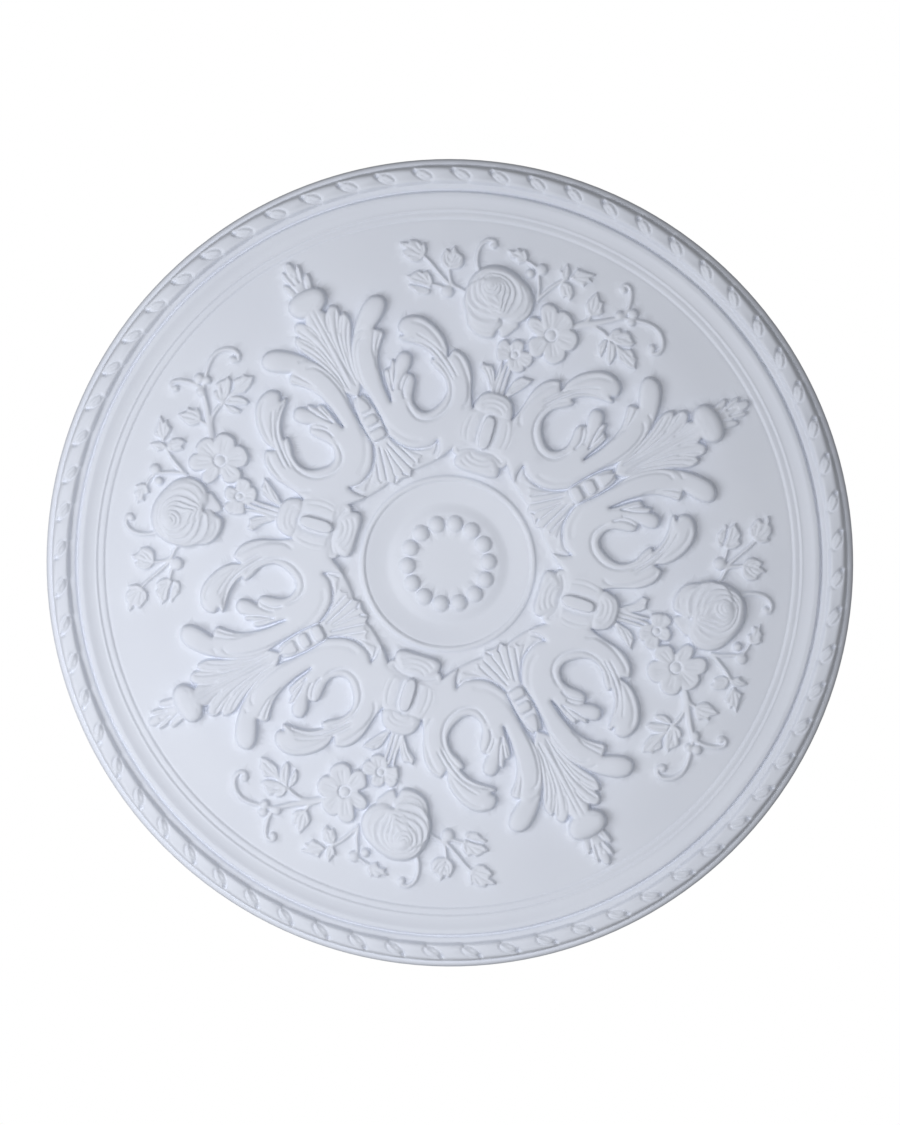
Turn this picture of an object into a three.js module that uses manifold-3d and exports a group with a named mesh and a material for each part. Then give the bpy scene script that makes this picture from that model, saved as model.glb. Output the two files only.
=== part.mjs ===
// Ceiling rose, one moulded piece, in millimetres.
// It is drawn face up, with x to the right, y up the face and z out of the face, and it is
// turned over at the end: the flat back is then at z = 0, against the ceiling above it,
// and the ornament faces down.
import * as THREE from 'three';
import { mergeVertices } from 'three/addons/utils/BufferGeometryUtils.js';
import Module from 'manifold-3d';

// The disc and its rim, from the outside in
const OUTER_RADIUS = 404;
const EDGE_BAND_WIDTH = 6.5;
const ROPE_WIDTH = 18.5;
const CHANNEL_WIDTH = 7.5;
const SHELF_WIDTH = 5.5;
const COVE_WIDTH = 12;
const BEADING_WIDTH = 9;
const BACK_CHAMFER = 3;

// Depths of the rim and field, measured from the back
const GROUND_DEPTH = 20;
const EDGE_DEPTH = 17;
const CHANNEL_DEPTH = 20.5;
const SHELF_DEPTH = 22.5;
const BEADING_DEPTH = 21;
const ROPE_DEPTH = 31;

// The rope moulding
const ROPE_LOBES = 64;
const ROPE_LEAN = 2.6;
const ROPE_VALLEY = 5;

// The boss in the middle: a flat face, a ring of beads, a dished channel and a step
const BOSS_RADIUS = 87;
const BOSS_STEP = 4;
const BOSS_FACE_RADIUS = 49;
const BOSS_FACE_DEPTH = 20;
const DISH_DEPTH = 15;
const BEAD_COUNT = 14;
const BEAD_RING_RADIUS = 40.5;
const BEAD_RADIUS = 8.5;
const BEAD_START = 3; // degrees from the x axis to the first bead

// The carved ornament, four times round the field
const REPEATS = 4;
const SCROLL_ANGLE = 28.35;
const BUCKLE_ANGLE = 73.35;
const DRAWING_RADIUS = 345;
const SCROLL_HEIGHT = 8.5;
const LEAF_HEIGHT = 9.5;
const TIE_HEIGHT = 12;
const BUCKLE_HEIGHT = 11.5;
const PILL_HEIGHT = 14.5;
const ROSE_HEIGHT = 15.5;
const ROSE_RADIUS = 36;
const FLOWER_HEIGHT = 8.5;
const FLOWER_RADIUS = 27;
const FLOWER_PETALS = 6;
const SMALL_FLOWER_RADIUS = 18;
const SMALL_FLOWER_PETALS = 5;
const SPRIG_HEIGHT = 4.5;
const STEM_HEIGHT = 3.5;
const STEM_WIDTH = 5;
const BERRY_RADIUS = 6.5;

// How far a raised form runs down into the ground so that the two are one
const ROOT_DEPTH = 3;

// How finely round forms are cut
const DISC_SIDES = ROPE_LOBES;
const BOSS_SIDES = Math.ceil(DISC_SIDES / 2);
const ROPE_ROWS = 3;
const BEAD_SIDES = 6;
const BEAD_LATITUDES = [-60, -5, 50];
const ROSE_SIDES = 10;

const COLOUR = 0xe6e6ea;
const ROUGHNESS = 0.55;

const fieldRadius = OUTER_RADIUS - EDGE_BAND_WIDTH - ROPE_WIDTH - CHANNEL_WIDTH
  - SHELF_WIDTH - COVE_WIDTH - BEADING_WIDTH;
const drawingScale = fieldRadius / DRAWING_RADIUS;
const degrees = Math.PI / 180;

const wasm = await Module();
wasm.setup();

// A closed geometry as a solid that can be joined
function solid(geometry) {
  const bare = geometry.index ? geometry.toNonIndexed() : geometry.clone();
  bare.deleteAttribute('normal');
  bare.deleteAttribute('uv');
  const merged = mergeVertices(bare, 1e-4);
  const place = merged.getAttribute('position');
  const index = merged.getIndex().array;
  const triangles = [];
  for (let i = 0; i < index.length; i += 3) {
    const [a, b, c] = [index[i], index[i + 1], index[i + 2]];
    if (a !== b && b !== c && c !== a) {
      triangles.push([a, b, c]);
    }
  }
  const corner = (i) => new THREE.Vector3().fromBufferAttribute(place, i);
  const volume = triangles.reduce(
    (sum, [a, b, c]) => sum + corner(a).dot(corner(b).cross(corner(c))), 0);
  const facing = volume < 0 ? triangles.map(([a, b, c]) => [a, c, b]) : triangles;
  return new wasm.Manifold(new wasm.Mesh({
    numProp: 3,
    vertProperties: new Float32Array(place.array),
    triVerts: new Uint32Array(facing.flat()),
  }));
}

// A skin over a stack of rings with the same number of points, closed at both ends
function loft(rings) {
  const sides = rings[0].length;
  const triangles = [];
  for (let r = 0; r + 1 < rings.length; r += 1) {
    for (let s = 0; s < sides; s += 1) {
      const next = (s + 1) % sides;
      const [a, b] = [rings[r][s], rings[r][next]];
      const [c, d] = [rings[r + 1][next], rings[r + 1][s]];
      triangles.push(a, b, c, a, c, d);
    }
  }
  const last = rings.length - 1;
  for (let s = 1; s + 1 < sides; s += 1) {
    triangles.push(rings[0][0], rings[0][s + 1], rings[0][s]);
    triangles.push(rings[last][0], rings[last][s], rings[last][s + 1]);
  }
  return new THREE.BufferGeometry().setFromPoints(triangles);
}

// The value of a list at a share of its length, straight between its entries
function along(values, share) {
  const place = share * (values.length - 1);
  const i = Math.min(Math.floor(place), values.length - 2);
  return THREE.MathUtils.lerp(values[i], values[i + 1], place - i);
}

// The top of a stroke's section: shares of its half width and of its height, from right to left
const ROUNDED = [[-0.64, 0.78], [0, 1], [0.64, 0.78]];
const FLAT = [[-0.7, 1], [0.7, 1]];
const RIDGED = [[0, 1]];
const ROLLED = [[-0.62, 0.85], [0.42, 0.75], [0.8, 1.15]];

// Share of the width at the root of a side that crosses the ground at a share of one
const rootShare = (share, height) => 1 + (1 - share) * (ROOT_DEPTH / height);

const flipped = (section) => section.map(([side, rise]) => [-side, rise]).reverse();

// A raised stroke along a curve, with steep sides that reach into the ground
function stroke(points, halfWidths, heights, steps, section = ROUNDED) {
  const curve = new THREE.CatmullRomCurve3(
    points.map(([x, y]) => new THREE.Vector3(x, y, 0)), false, 'centripetal');
  const rings = [];
  for (let i = 0; i <= steps; i += 1) {
    const share = i / steps;
    const middle = curve.getPoint(share);
    const tangent = curve.getTangent(share);
    const across = new THREE.Vector3(-tangent.y, tangent.x, 0);
    const half = along(halfWidths, share) * drawingScale;
    const height = along(heights, share);
    const at = (side, z) => middle.clone().multiplyScalar(drawingScale)
      .addScaledVector(across, side * half).setZ(z);
    const [right, left] = [section[0], section.at(-1)];
    rings.push([
      at(-rootShare(-right[0], height * right[1]), GROUND_DEPTH - ROOT_DEPTH),
      ...section.map(([side, rise]) => at(side, GROUND_DEPTH + height * rise)),
      at(rootShare(left[0], height * left[1]), GROUND_DEPTH - ROOT_DEPTH),
    ]);
  }
  return solid(loft(rings));
}

// A thin stem or tendril
function stem(points, steps) {
  return stroke(points, [STEM_WIDTH / 2, STEM_WIDTH / 2], [STEM_HEIGHT, STEM_HEIGHT], steps, RIDGED);
}

// A low mound over an outline: each level is a share of the outline and a height. The levels
// above the first drift aside, which leaves no overhang at the foot.
function mound(centre, outline, levels, drift = [0, 0]) {
  const rootLevel = [rootShare(...levels[0]), -ROOT_DEPTH];
  const rings = [rootLevel, ...levels].map(([share, height], level) => {
    const slide = Math.max(level - 1, 0) / levels.length;
    return outline.map(([x, y]) => new THREE.Vector3(
      (centre[0] + drift[0] * slide + x * share) * drawingScale,
      (centre[1] + drift[1] * slide + y * share) * drawingScale,
      GROUND_DEPTH + height,
    ));
  });
  return solid(loft(rings));
}

// A closed outline from a radius that changes with the angle
function polarOutline(sides, radiusAt) {
  return Array.from({ length: sides }, (_, i) => {
    const angle = (2 * Math.PI * i) / sides;
    const radius = radiusAt(angle);
    return [radius * Math.cos(angle), radius * Math.sin(angle)];
  });
}

const round = (radius, sides) => polarOutline(sides, () => radius);

// A pointed leaf from its base to its tip
function leaf(base, tip, halfWidth) {
  const middle = [
    THREE.MathUtils.lerp(base[0], tip[0], 0.5),
    THREE.MathUtils.lerp(base[1], tip[1], 0.5),
  ];
  return stroke([base, middle, tip], [2, halfWidth, 1],
    [SPRIG_HEIGHT * 0.7, SPRIG_HEIGHT, SPRIG_HEIGHT * 0.6], 2, RIDGED);
}

const mirrored = (points) => points.map(([x, y]) => [-x, y]);

// Joins a list of solids into one
const joined = (solids) => solids.reduce((sum, next) => sum.add(next));

// A closed skin over rings that run from the middle of the back round to the middle of the face.
// A ring is a radius, a depth and the number of its points; a rope ring also leans and waves.
function turnedSkin(rings) {
  const points = rings.map(({ radius, depth, sides, lean = 0, wave = 0 }) => (
    Array.from({ length: sides }, (_, i) => {
      const angle = (2 * Math.PI * i) / sides + lean;
      const drop = i % 2 ? wave : 0;
      return new THREE.Vector3(radius * Math.cos(angle), radius * Math.sin(angle), depth - drop);
    })
  ));
  const triangles = [];
  const fan = (ring, depth) => {
    const middle = new THREE.Vector3(0, 0, depth);
    ring.forEach((point, i) => triangles.push(middle, ring[(i + 1) % ring.length], point));
  };
  fan(points[0], rings[0].depth);
  for (let r = 0; r + 1 < points.length; r += 1) {
    const [near, far] = [points[r], points[r + 1]];
    const at = (ring, i) => ring[i % ring.length];
    let [i, j] = [0, 0];
    while (i < near.length || j < far.length) {
      const isNearNext = i < near.length && (i + 1) / near.length <= (j + 1) / far.length;
      if (isNearNext) {
        triangles.push(at(near, i), at(near, i + 1), at(far, j));
        i += 1;
      } else {
        triangles.push(at(near, i), at(far, j + 1), at(far, j));
        j += 1;
      }
    }
  }
  fan([...points.at(-1)].reverse(), rings.at(-1).depth);
  return new THREE.BufferGeometry().setFromPoints(triangles);
}

// The disc with its rim mouldings, rope and boss
function disc() {
  const ropeOuter = OUTER_RADIUS - EDGE_BAND_WIDTH;
  const ropeInner = ropeOuter - ROPE_WIDTH;
  const channelInner = ropeInner - CHANNEL_WIDTH;
  const shelfInner = channelInner - SHELF_WIDTH;
  const coveInner = shelfInner - COVE_WIDTH;
  const ring = (radius, depth, sides = DISC_SIDES) => ({ radius, depth, sides });
  const ropeRings = [];
  for (let i = 0; i <= ROPE_ROWS; i += 1) {
    const share = i / ROPE_ROWS;
    const rise = Math.sqrt(1 - (2 * share - 1) ** 2);
    ropeRings.push({
      radius: THREE.MathUtils.lerp(ropeOuter, ropeInner, share),
      depth: CHANNEL_DEPTH + (ROPE_DEPTH - CHANNEL_DEPTH) * rise,
      sides: 2 * ROPE_LOBES,
      lean: (0.5 - share) * ROPE_LEAN * degrees,
      wave: ROPE_VALLEY * rise,
    });
  }
  return solid(turnedSkin([
    ring(OUTER_RADIUS - BACK_CHAMFER, 0),
    ring(OUTER_RADIUS, BACK_CHAMFER),
    ring(OUTER_RADIUS, EDGE_DEPTH),
    ring(ropeOuter, EDGE_DEPTH),
    ...ropeRings,
    ring(channelInner, CHANNEL_DEPTH),
    ring(channelInner, SHELF_DEPTH),
    ring(shelfInner, SHELF_DEPTH),
    ring(coveInner, GROUND_DEPTH),
    ring(coveInner - BEADING_WIDTH / 2, BEADING_DEPTH),
    ring(fieldRadius, GROUND_DEPTH),
    ring(BOSS_RADIUS, GROUND_DEPTH, BOSS_SIDES),
    ring(BOSS_RADIUS - BOSS_STEP, GROUND_DEPTH - BOSS_STEP / 2, BOSS_SIDES),
    ring((BOSS_RADIUS + BOSS_FACE_RADIUS) / 2, DISH_DEPTH, BOSS_SIDES),
    ring(BOSS_FACE_RADIUS, BOSS_FACE_DEPTH, BOSS_SIDES),
  ]));
}

// The ring of beads on the boss; no bead hangs over the flat face that it stands on
function bossBeads() {
  const beads = [];
  for (let i = 0; i < BEAD_COUNT; i += 1) {
    const angle = BEAD_START * degrees + (2 * Math.PI * i) / BEAD_COUNT;
    const rings = BEAD_LATITUDES.map((latitude) => {
      const radius = BEAD_RADIUS * Math.cos(latitude * degrees);
      return round(radius, BEAD_SIDES).map(([x, y]) => new THREE.Vector3(
        BEAD_RING_RADIUS * Math.cos(angle) + x,
        BEAD_RING_RADIUS * Math.sin(angle) + y,
        BOSS_FACE_DEPTH + BEAD_RADIUS * Math.sin(latitude * degrees),
      ));
    });
    beads.push(solid(loft(rings)));
  }
  return joined(beads);
}

// One side of a scroll group; the other is its mirror image
function scrollSide(isFlipped) {
  const turn = isFlipped ? mirrored : (points) => points;
  const rolled = isFlipped ? flipped(ROLLED) : ROLLED;
  const h = SCROLL_HEIGHT;
  const body = stroke(
    turn([[18, 176], [24, 148], [38, 126], [58, 119], [80, 125], [96, 143], [100, 172]]),
    [8, 16, 21, 23, 22, 17, 11], [h, h, h, h, h, h, h], 6, rolled);
  const innerArm = stroke(
    turn([[17, 180], [18, 204], [30, 234], [50, 254], [66, 264]]),
    [8, 8, 10, 13, 5], [h - 1, h - 1, h, h + 1, h - 4], 4, FLAT);
  const finger = stroke(turn([[28, 180], [48, 236]]), [6, 3], [h - 2, h - 6], 1, RIDGED);
  const innerClub = stroke(turn([[34, 176], [45, 194], [63, 203]]),
    [6, 9, 4], [h - 3, h - 2, h - 5], 2, RIDGED);
  const outerClub = stroke(turn([[99, 176], [96, 206], [79, 230]]),
    [9, 11, 5], [h - 1, h - 1, h - 3], 2, FLAT);
  return joined([body, innerArm, finger, innerClub, outerClub]);
}

// A scroll group: two mirrored scrolls, the tie between them, and the leaf that grows out of it
function scrollGroup() {
  const h = LEAF_HEIGHT;
  const skirt = [-1, 1].map((side) => stroke(
    [[side * 5, 138], [side * 42, 108]], [5, 9], [h + 1, h], 1, RIDGED));
  const skirtMiddle = stroke([[0, 138], [0, 97]], [5, 12], [h + 2, h - 2], 1, RIDGED);
  const tie = stroke([[0, 139], [0, 153], [0, 155], [0, 165], [0, 167], [0, 180], [0, 192]],
    [9, 10, 7, 9, 7, 7, 1], [TIE_HEIGHT, TIE_HEIGHT, h, TIE_HEIGHT, h + 1, h, h - 6], 6, FLAT);
  const leafBlade = stroke([[0, 184], [0, 222], [0, 250], [0, 272], [0, 290]],
    [4, 13, 24, 27, 13], [h - 3, h - 4, h - 3, h - 2, h], 4, RIDGED);
  const curl = mound([0, 296], polarOutline(8, (a) => 1 / Math.hypot(
    Math.cos(a) / 20, Math.sin(a) / 12.5)), [[0.8, h + 2]]);
  const finial = mound([0, 320], [[8, -14], [14, 1], [8, 0], [10, 10], [0, 19], [-10, 10], [-8, 0],
    [-14, 1], [-8, -14]], [[0.7, h - 5]]);
  return joined([
    scrollSide(false), scrollSide(true), ...skirt, skirtMiddle, tie, leafBlade, curl, finial,
  ]);
}

// A buckle: a ribbed cushion with a lobe at each end and a long pill on top
function buckle() {
  const h = BUCKLE_HEIGHT;
  const cushion = stroke([[0, 116], [0, 138], [0, 160]], [24, 33, 24], [h - 2, h, h - 2], 2);
  const lobe = (y, halfWidth, halfLength) => mound([0, y], polarOutline(8, (a) => 1 / Math.hypot(
    Math.cos(a) / halfWidth, Math.sin(a) / halfLength)), [[0.85, h - 2]]);
  const pill = stroke([[0, 117], [0, 121], [0, 150], [0, 154]], [3, 6.5, 6.5, 3],
    [h, PILL_HEIGHT, PILL_HEIGHT, h], 3, FLAT);
  return joined([cushion, lobe(167, 20, 11), lobe(107, 23, 13), pill]);
}

// The outline of a leaf with three points
function trefoil(radius, turn) {
  return polarOutline(6, (a) => radius * (0.76 + 0.24 * Math.cos(3 * a))).map(([x, y]) => [
    x * Math.cos(turn) - y * Math.sin(turn), x * Math.sin(turn) + y * Math.cos(turn),
  ]);
}

// A flower with round petals about a raised eye
function flower(centre, radius, petalCount, turn) {
  const petals = polarOutline(2 * petalCount, (a) => (
    radius * (0.86 + 0.14 * Math.cos(petalCount * a))));
  const turned = petals.map(([x, y]) => [
    x * Math.cos(turn) - y * Math.sin(turn), x * Math.sin(turn) + y * Math.cos(turn),
  ]);
  return mound(centre, turned, [[0.82, FLOWER_HEIGHT - 3], [0.2, FLOWER_HEIGHT]]);
}

// A flower spray, which turns one way only: rose, flowers, leaves, berries, stems and tendrils
function spray() {
  const rose = mound([-27, 263], round(ROSE_RADIUS, ROSE_SIDES), [
    [0.93, ROSE_HEIGHT * 0.65], [0.58, ROSE_HEIGHT * 0.82], [0.3, ROSE_HEIGHT],
  ], [-10, 15]);
  const flowers = [
    flower([34, 249], FLOWER_RADIUS, FLOWER_PETALS, 0.2),
    flower([5, 221], SMALL_FLOWER_RADIUS, SMALL_FLOWER_PETALS, 0.5),
  ];
  const stalk = stroke([[0, 172], [2, 208]], [6, 5],
    [SPRIG_HEIGHT + 2, SPRIG_HEIGHT], 1, FLAT);
  const stalkLeaves = [leaf([-3, 180], [-24, 201], 6), leaf([3, 180], [27, 200], 6)];
  const sprigs = [
    leaf([-110, 287], [-138, 293], 12), leaf([-84, 280], [-84, 306], 11),
    leaf([-94, 262], [-121, 262], 12), leaf([-10, 312], [-33, 315], 9),
    leaf([66, 275], [65, 303], 9),
    mound([37, 306], trefoil(21, 0.6), [[0.4, SPRIG_HEIGHT]]),
    mound([99, 256], trefoil(23, -0.65), [[0.4, SPRIG_HEIGHT]]),
  ];
  const stems = [
    stem([[-58, 264], [-96, 262]], 1),
    stem([[-62, 262], [-88, 276], [-112, 288]], 2),
    stem([[-54, 288], [-61, 306], [-55, 322], [-44, 318]], 3),
    stem([[8, 278], [-12, 311]], 1),
    stem([[9, 278], [34, 308]], 1),
    stem([[52, 259], [92, 284], [134, 281], [141, 264], [129, 264]], 4),
    stem([[64, 267], [92, 260]], 1),
    stem([[97, 284], [99, 304], [92, 317], [84, 311]], 3),
  ];
  const berries = [[-79, 262], [-4, 302], [98, 289]].map(
    (centre) => mound(centre, round(BERRY_RADIUS, 5), [[0.6, SPRIG_HEIGHT]]));
  return joined([rose, ...flowers, stalk, ...stalkLeaves, ...sprigs, ...stems, ...berries]);
}

// Copies of one group round the field, the first with its axis at the given angle
function around(group, firstAngle) {
  const copies = [];
  for (let i = 0; i < REPEATS; i += 1) {
    copies.push(group.rotate([0, 0, firstAngle - 90 + (360 * i) / REPEATS]));
  }
  return joined(copies);
}

// Everything joined, as the one casting that it is
function ceilingRose() {
  const whole = joined([
    disc(), bossBeads(), around(scrollGroup(), SCROLL_ANGLE),
    around(buckle(), BUCKLE_ANGLE), around(spray(), BUCKLE_ANGLE),
  ]);
  const { vertProperties, triVerts } = whole.getMesh();
  const geometry = new THREE.BufferGeometry();
  geometry.setAttribute('position', new THREE.BufferAttribute(vertProperties, 3));
  geometry.setIndex(new THREE.BufferAttribute(triVerts, 1));
  geometry.computeVertexNormals();
  return geometry;
}

const casting = new THREE.MeshStandardMaterial({
  color: COLOUR, roughness: ROUGHNESS, metalness: 0,
});
const rose = new THREE.Mesh(ceilingRose(), casting);
rose.name = 'ceiling_rose';
rose.rotation.x = Math.PI;

const object = new THREE.Group();
object.add(rose);

export default object;
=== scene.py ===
"""A ceiling rose seen from below: one casting with a rope rim, scrolls, flowers and a beaded boss."""

import math

import bmesh
import bpy
import numpy as np
from mathutils import Matrix, Vector


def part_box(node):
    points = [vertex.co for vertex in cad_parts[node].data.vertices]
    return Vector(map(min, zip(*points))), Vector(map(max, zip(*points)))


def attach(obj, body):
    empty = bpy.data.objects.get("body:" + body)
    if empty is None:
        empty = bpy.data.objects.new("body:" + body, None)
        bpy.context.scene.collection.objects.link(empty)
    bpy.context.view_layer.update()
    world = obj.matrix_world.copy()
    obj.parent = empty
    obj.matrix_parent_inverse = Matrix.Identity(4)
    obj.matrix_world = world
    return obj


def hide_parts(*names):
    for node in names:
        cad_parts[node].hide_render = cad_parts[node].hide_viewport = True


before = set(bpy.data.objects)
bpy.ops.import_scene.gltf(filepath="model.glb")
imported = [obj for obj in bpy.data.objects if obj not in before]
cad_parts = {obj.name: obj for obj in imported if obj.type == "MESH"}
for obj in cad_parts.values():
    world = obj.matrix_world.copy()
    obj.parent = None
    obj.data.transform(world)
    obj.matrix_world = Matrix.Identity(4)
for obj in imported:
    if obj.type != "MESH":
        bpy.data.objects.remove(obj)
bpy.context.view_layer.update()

NODE = "ceiling_rose"
BODY = "root"
MM = 0.001  # the relief is drawn in millimetres

# Sizes from the frame, in millimetres
low_corner, high_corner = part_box(NODE)
OUTER_RADIUS = high_corner.x / MM
FULL_DEPTH = -low_corner.z / MM

# Depths below the ceiling, in millimetres
GROUND_DEPTH = 20.0
EDGE_DEPTH = 18.5
CHANNEL_DEPTH = 20.5
SHELF_DEPTH = 22.5
ROPE_DEPTH = 28.5
RIM_DISH = 2.0  # how far the ground sinks just inside the rim
DISH_START = 292.0

# Widths of the rim, from its outer edge inwards
EDGE_BAND_WIDTH = 6.5
ROPE_WIDTH = 18.5
CHANNEL_WIDTH = 7.5
SHELF_WIDTH = 5.5
COVE_WIDTH = 12.0
BEADING_WIDTH = 9.0
BACK_CHAMFER = 3.0
SIDE_DEPTH = 7.0

# The section of the mouldings
BEADING_STEP = 1.15
BEADING_WALL = 1.4  # the width over which each step of the beading rises
BEADING_WALL_BEFORE = 0.6
BEADING_LINE_DEPTH = 0.5
BEADING_LINE_WIDTH = 1.0
BEADING_LINE_BEFORE = 1.2
SECOND_STEP = 0.8  # where the second step lies, as a share of the beading's width
COVE_DROP = 0.6
COVE_STRAIGHT = 0.35  # the share of the cove's rise that is a straight slope
COVE_BEND = 2.4
CHANNEL_WALL = 1.0
CHANNEL_LINE_DEPTH = 3.0
CHANNEL_LINE_WIDTH = 0.8
CHANNEL_RISE = 0.8  # how far the channel's floor comes up towards the rope
EDGE_ROUNDING = 6.0
EDGE_TURN = 1.25  # more than 1 leaves a flat stretch before the rounded edge
EDGE_LINE_DEPTH = 1.2
EDGE_LINE_WIDTH = 0.9

# The rope
ROPE_TURNS = 64
ROPE_FIRST_LINE = 5.0  # degrees, where the outer end of one line lies
ROPE_LEAN = 2.7  # degrees that a line turns from the inner to the outer edge
ROPE_FLATNESS = 4.5  # 2 is a round section, more is a flatter top
ROPE_STEP = 1.3  # how far each wrap stands over the start of the next
ROPE_STEP_SHARE = 0.035  # the share of a wrap over which it falls to the next
ROPE_WAIST = 0.07  # the share by which a wrap is narrower at its start
ROPE_GROWTH = 2.2  # how soon it reaches its full width
ROPE_FOOT = 2.0  # how far the rope's sides go on below its neighbours
ROPE_LINE_DEPTH = 0.7
ROPE_LINE_WIDTH = 0.9
PIT_RADIUS = 393.0  # where the pit at the outer end of each line lies
PIT_DEPTH = 5.0
PIT_LENGTH = 1.7
PIT_WIDTH = 2.4
KNOT_AHEAD = 10.0  # clockwise from the pit to the middle of the oval knot
KNOT_RADIUS = 388.2
KNOT_LENGTH = 9.0
KNOT_WIDTH = 4.6
KNOT_LEAN = math.radians(23)
KNOT_LINE_DEPTH = 2.2
KNOT_LINE_WIDTH = 0.8

# The boss
BOSS_RADIUS = 86.0
BOSS_EDGE_WIDTH = 2.6
BOSS_FILLET_WIDTH = 3.5
BOSS_LIP = 0.4
BOSS_RING_STEP = 1.8
BOSS_RING_WALL = 1.2
BOSS_LINE_DEPTH = 0.5
BOSS_LINE_WIDTH = 0.8
BOSS_FACE_RADIUS = 49.0
BOSS_HOLLOW = 2.2
BOSS_LOWEST = 0.34  # the share of the dished ring's width where it is deepest
BOSS_BEND = 1.3
BEAD_COUNT = 14
BEAD_RING_RADIUS = 40.5
BEAD_RADIUS = 8.5
BEAD_RISE = 6.0
BEAD_SINK = 0.5
BEAD_FIRST = 3.0  # degrees

# Where the groups of ornament stand, in degrees
REPEATS = 4
SCROLL_ANGLE = 28.35
BUCKLE_ANGLE = 73.35

# Heights of the ornament over the ground
SCROLL_HEIGHT = 8.5
LEAF_HEIGHT = 9.5
TIE_HEIGHT = 12.0
BUCKLE_HEIGHT = 11.5
PILL_HEIGHT = 14.5
ROSE_HEIGHT = 15.5
FLOWER_HEIGHT = 8.5
SPRIG_HEIGHT = 4.5
STEM_HEIGHT = 3.5
BERRY_HEIGHT = 5.5
PETAL_SPREAD = 1.12  # how far neighbouring petals of a flower grow into each other

# How the forms of the ornament are shaped
WALL = 1.0  # the width over which a steep side falls to the ground
WALL_SHARE = 0.45  # the share of a form's height that its steep side has
BALL_WALL_SHARE = 0.3
SWELL_FROM = 6.0  # the height from which a form swells in full
CUT_FROM = 3.0  # the height from which a line is cut at its full depth
PETAL_RIM = 1.0
PETAL_SLOPE = 4.5  # the width over which a rose petal sinks inside its rim
PETAL_DIP = 1.2
HEART_RADIUS = 2.7  # of the plate under a flower's petals, in radii of its eye
HEART_SINK = 1.6
LOWER_PETAL = 0.5  # how much lower every second petal lies
FOLD_START = 1.1  # in radii of the eye
FOLD_END = 0.35  # past the middle of the petal, as a share of its way from the eye
FOLD_GAPS = (0.8, 2.8)  # from the middle line of the petal at both ends of a fold
FOLD_DEPTH = 0.8
FOLD_WIDTH = 1.0
EYE_RING = 1.3  # the width of the ring round the eye of a flower
RING_SINK = 2.2
EYE_SINK = 0.6
SPRIG_SHOULDER = 2.4
VEIN_DEPTH = 1.3
VEIN_WIDTH = 0.9

# How finely the surface is made
RING_STEP = 0.8
COLUMNS = 2560
FACE_LIMIT = 170000
LONGEST_EDGE = 10.0  # a longer edge of a thinned triangle in the field is halved
DIVISIONS = 3
PATH_STEPS = 7  # between two points of an open curve
LOOP_STEPS = 6
OVAL_SIDES = 36
BACK_RINGS = 10
SHARP_ANGLE = math.radians(35)
PAST_AXIS = -30.0  # how far outlines of symmetric forms are carried past their axis


# Curves and distances

def smooth_spans(knots, steps):
    """A smooth curve from the second knot up to the last but one, which it leaves out."""
    t = (np.arange(steps) / steps)[:, None]
    spans = []
    for a, b, c, d in zip(knots, knots[1:], knots[2:], knots[3:]):
        bend = (2 * a - 5 * b + 4 * c - d) * t**2
        twist = (3 * b - a - 3 * c + d) * t**3
        spans.append(0.5 * (2 * b + (c - a) * t + bend + twist))
    return np.vstack(spans)


def smooth_path(points):
    """A smooth curve through the points, whose further columns are carried along."""
    knots = np.asarray(points, float)
    knots = np.vstack([2 * knots[0] - knots[1], knots, 2 * knots[-1] - knots[-2]])
    return np.vstack([smooth_spans(knots, PATH_STEPS), knots[-2:-1]])


def smooth_loop(points):
    """A smooth closed curve through the points."""
    knots = np.asarray(points, float)
    return smooth_spans(np.vstack([knots[-1:], knots, knots[:2]]), LOOP_STEPS)


def cornered(first, *others):
    """An outline of smooth edges that meet at corners; each further edge starts from the last point."""
    outline = smooth_path(first)
    corner = first[-1]
    for edge in others:
        outline = np.vstack([outline, smooth_path([corner, *edge])])
        corner = edge[-1]
    return outline


def oval(centre, radius_x, radius_y, turn=0.0):
    """An ellipse, turned by some degrees."""
    t = np.linspace(0, 2 * math.pi, OVAL_SIDES, endpoint=False)
    u, v = radius_x * np.cos(t), radius_y * np.sin(t)
    c, s = math.cos(math.radians(turn)), math.sin(math.radians(turn))
    return np.column_stack([centre[0] + u * c - v * s, centre[1] + u * s + v * c])


def circle(centre, radius):
    """A round outline."""
    return oval(centre, radius, radius)


def nearest(path, x, y):
    """Each point's distance from the path, its share along it and the further columns there."""
    best = np.full(x.shape, np.inf)
    carried = np.zeros((path.shape[1] - 2,) + x.shape)
    along = np.zeros(x.shape)
    steps = np.hypot(*np.diff(path[:, :2], axis=0).T)
    marks = np.concatenate([[0], np.cumsum(steps)])
    total = max(marks[-1], 1e-9)
    for i in range(len(path) - 1):
        a, b = path[i], path[i + 1]
        run = b[:2] - a[:2]
        share = ((x - a[0]) * run[0] + (y - a[1]) * run[1]) / max(run @ run, 1e-12)
        share = np.clip(share, 0, 1)
        away = np.hypot(x - a[0] - share * run[0], y - a[1] - share * run[1])
        closer = away < best
        best = np.where(closer, away, best)
        along = np.where(closer, (marks[i] + share * steps[i]) / total, along)
        for k in range(len(carried)):
            value = a[2 + k] + share * (b[2 + k] - a[2 + k])
            carried[k] = np.where(closer, value, carried[k])
    return best, along, carried


def is_inside(loop, x, y):
    """Which points the closed outline holds."""
    inside = np.zeros(x.shape, bool)
    for (ax, ay), (bx, by) in zip(loop, np.roll(loop, -1, axis=0)):
        if ay == by:
            continue
        crosses = ((ay > y) != (by > y)) & (x < (bx - ax) * (y - ay) / (by - ay) + ax)
        inside ^= crosses
    return inside


def eased(share):
    """0 to 1 with soft ends."""
    share = np.clip(share, 0, 1)
    return share * share * (3 - 2 * share)


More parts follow.
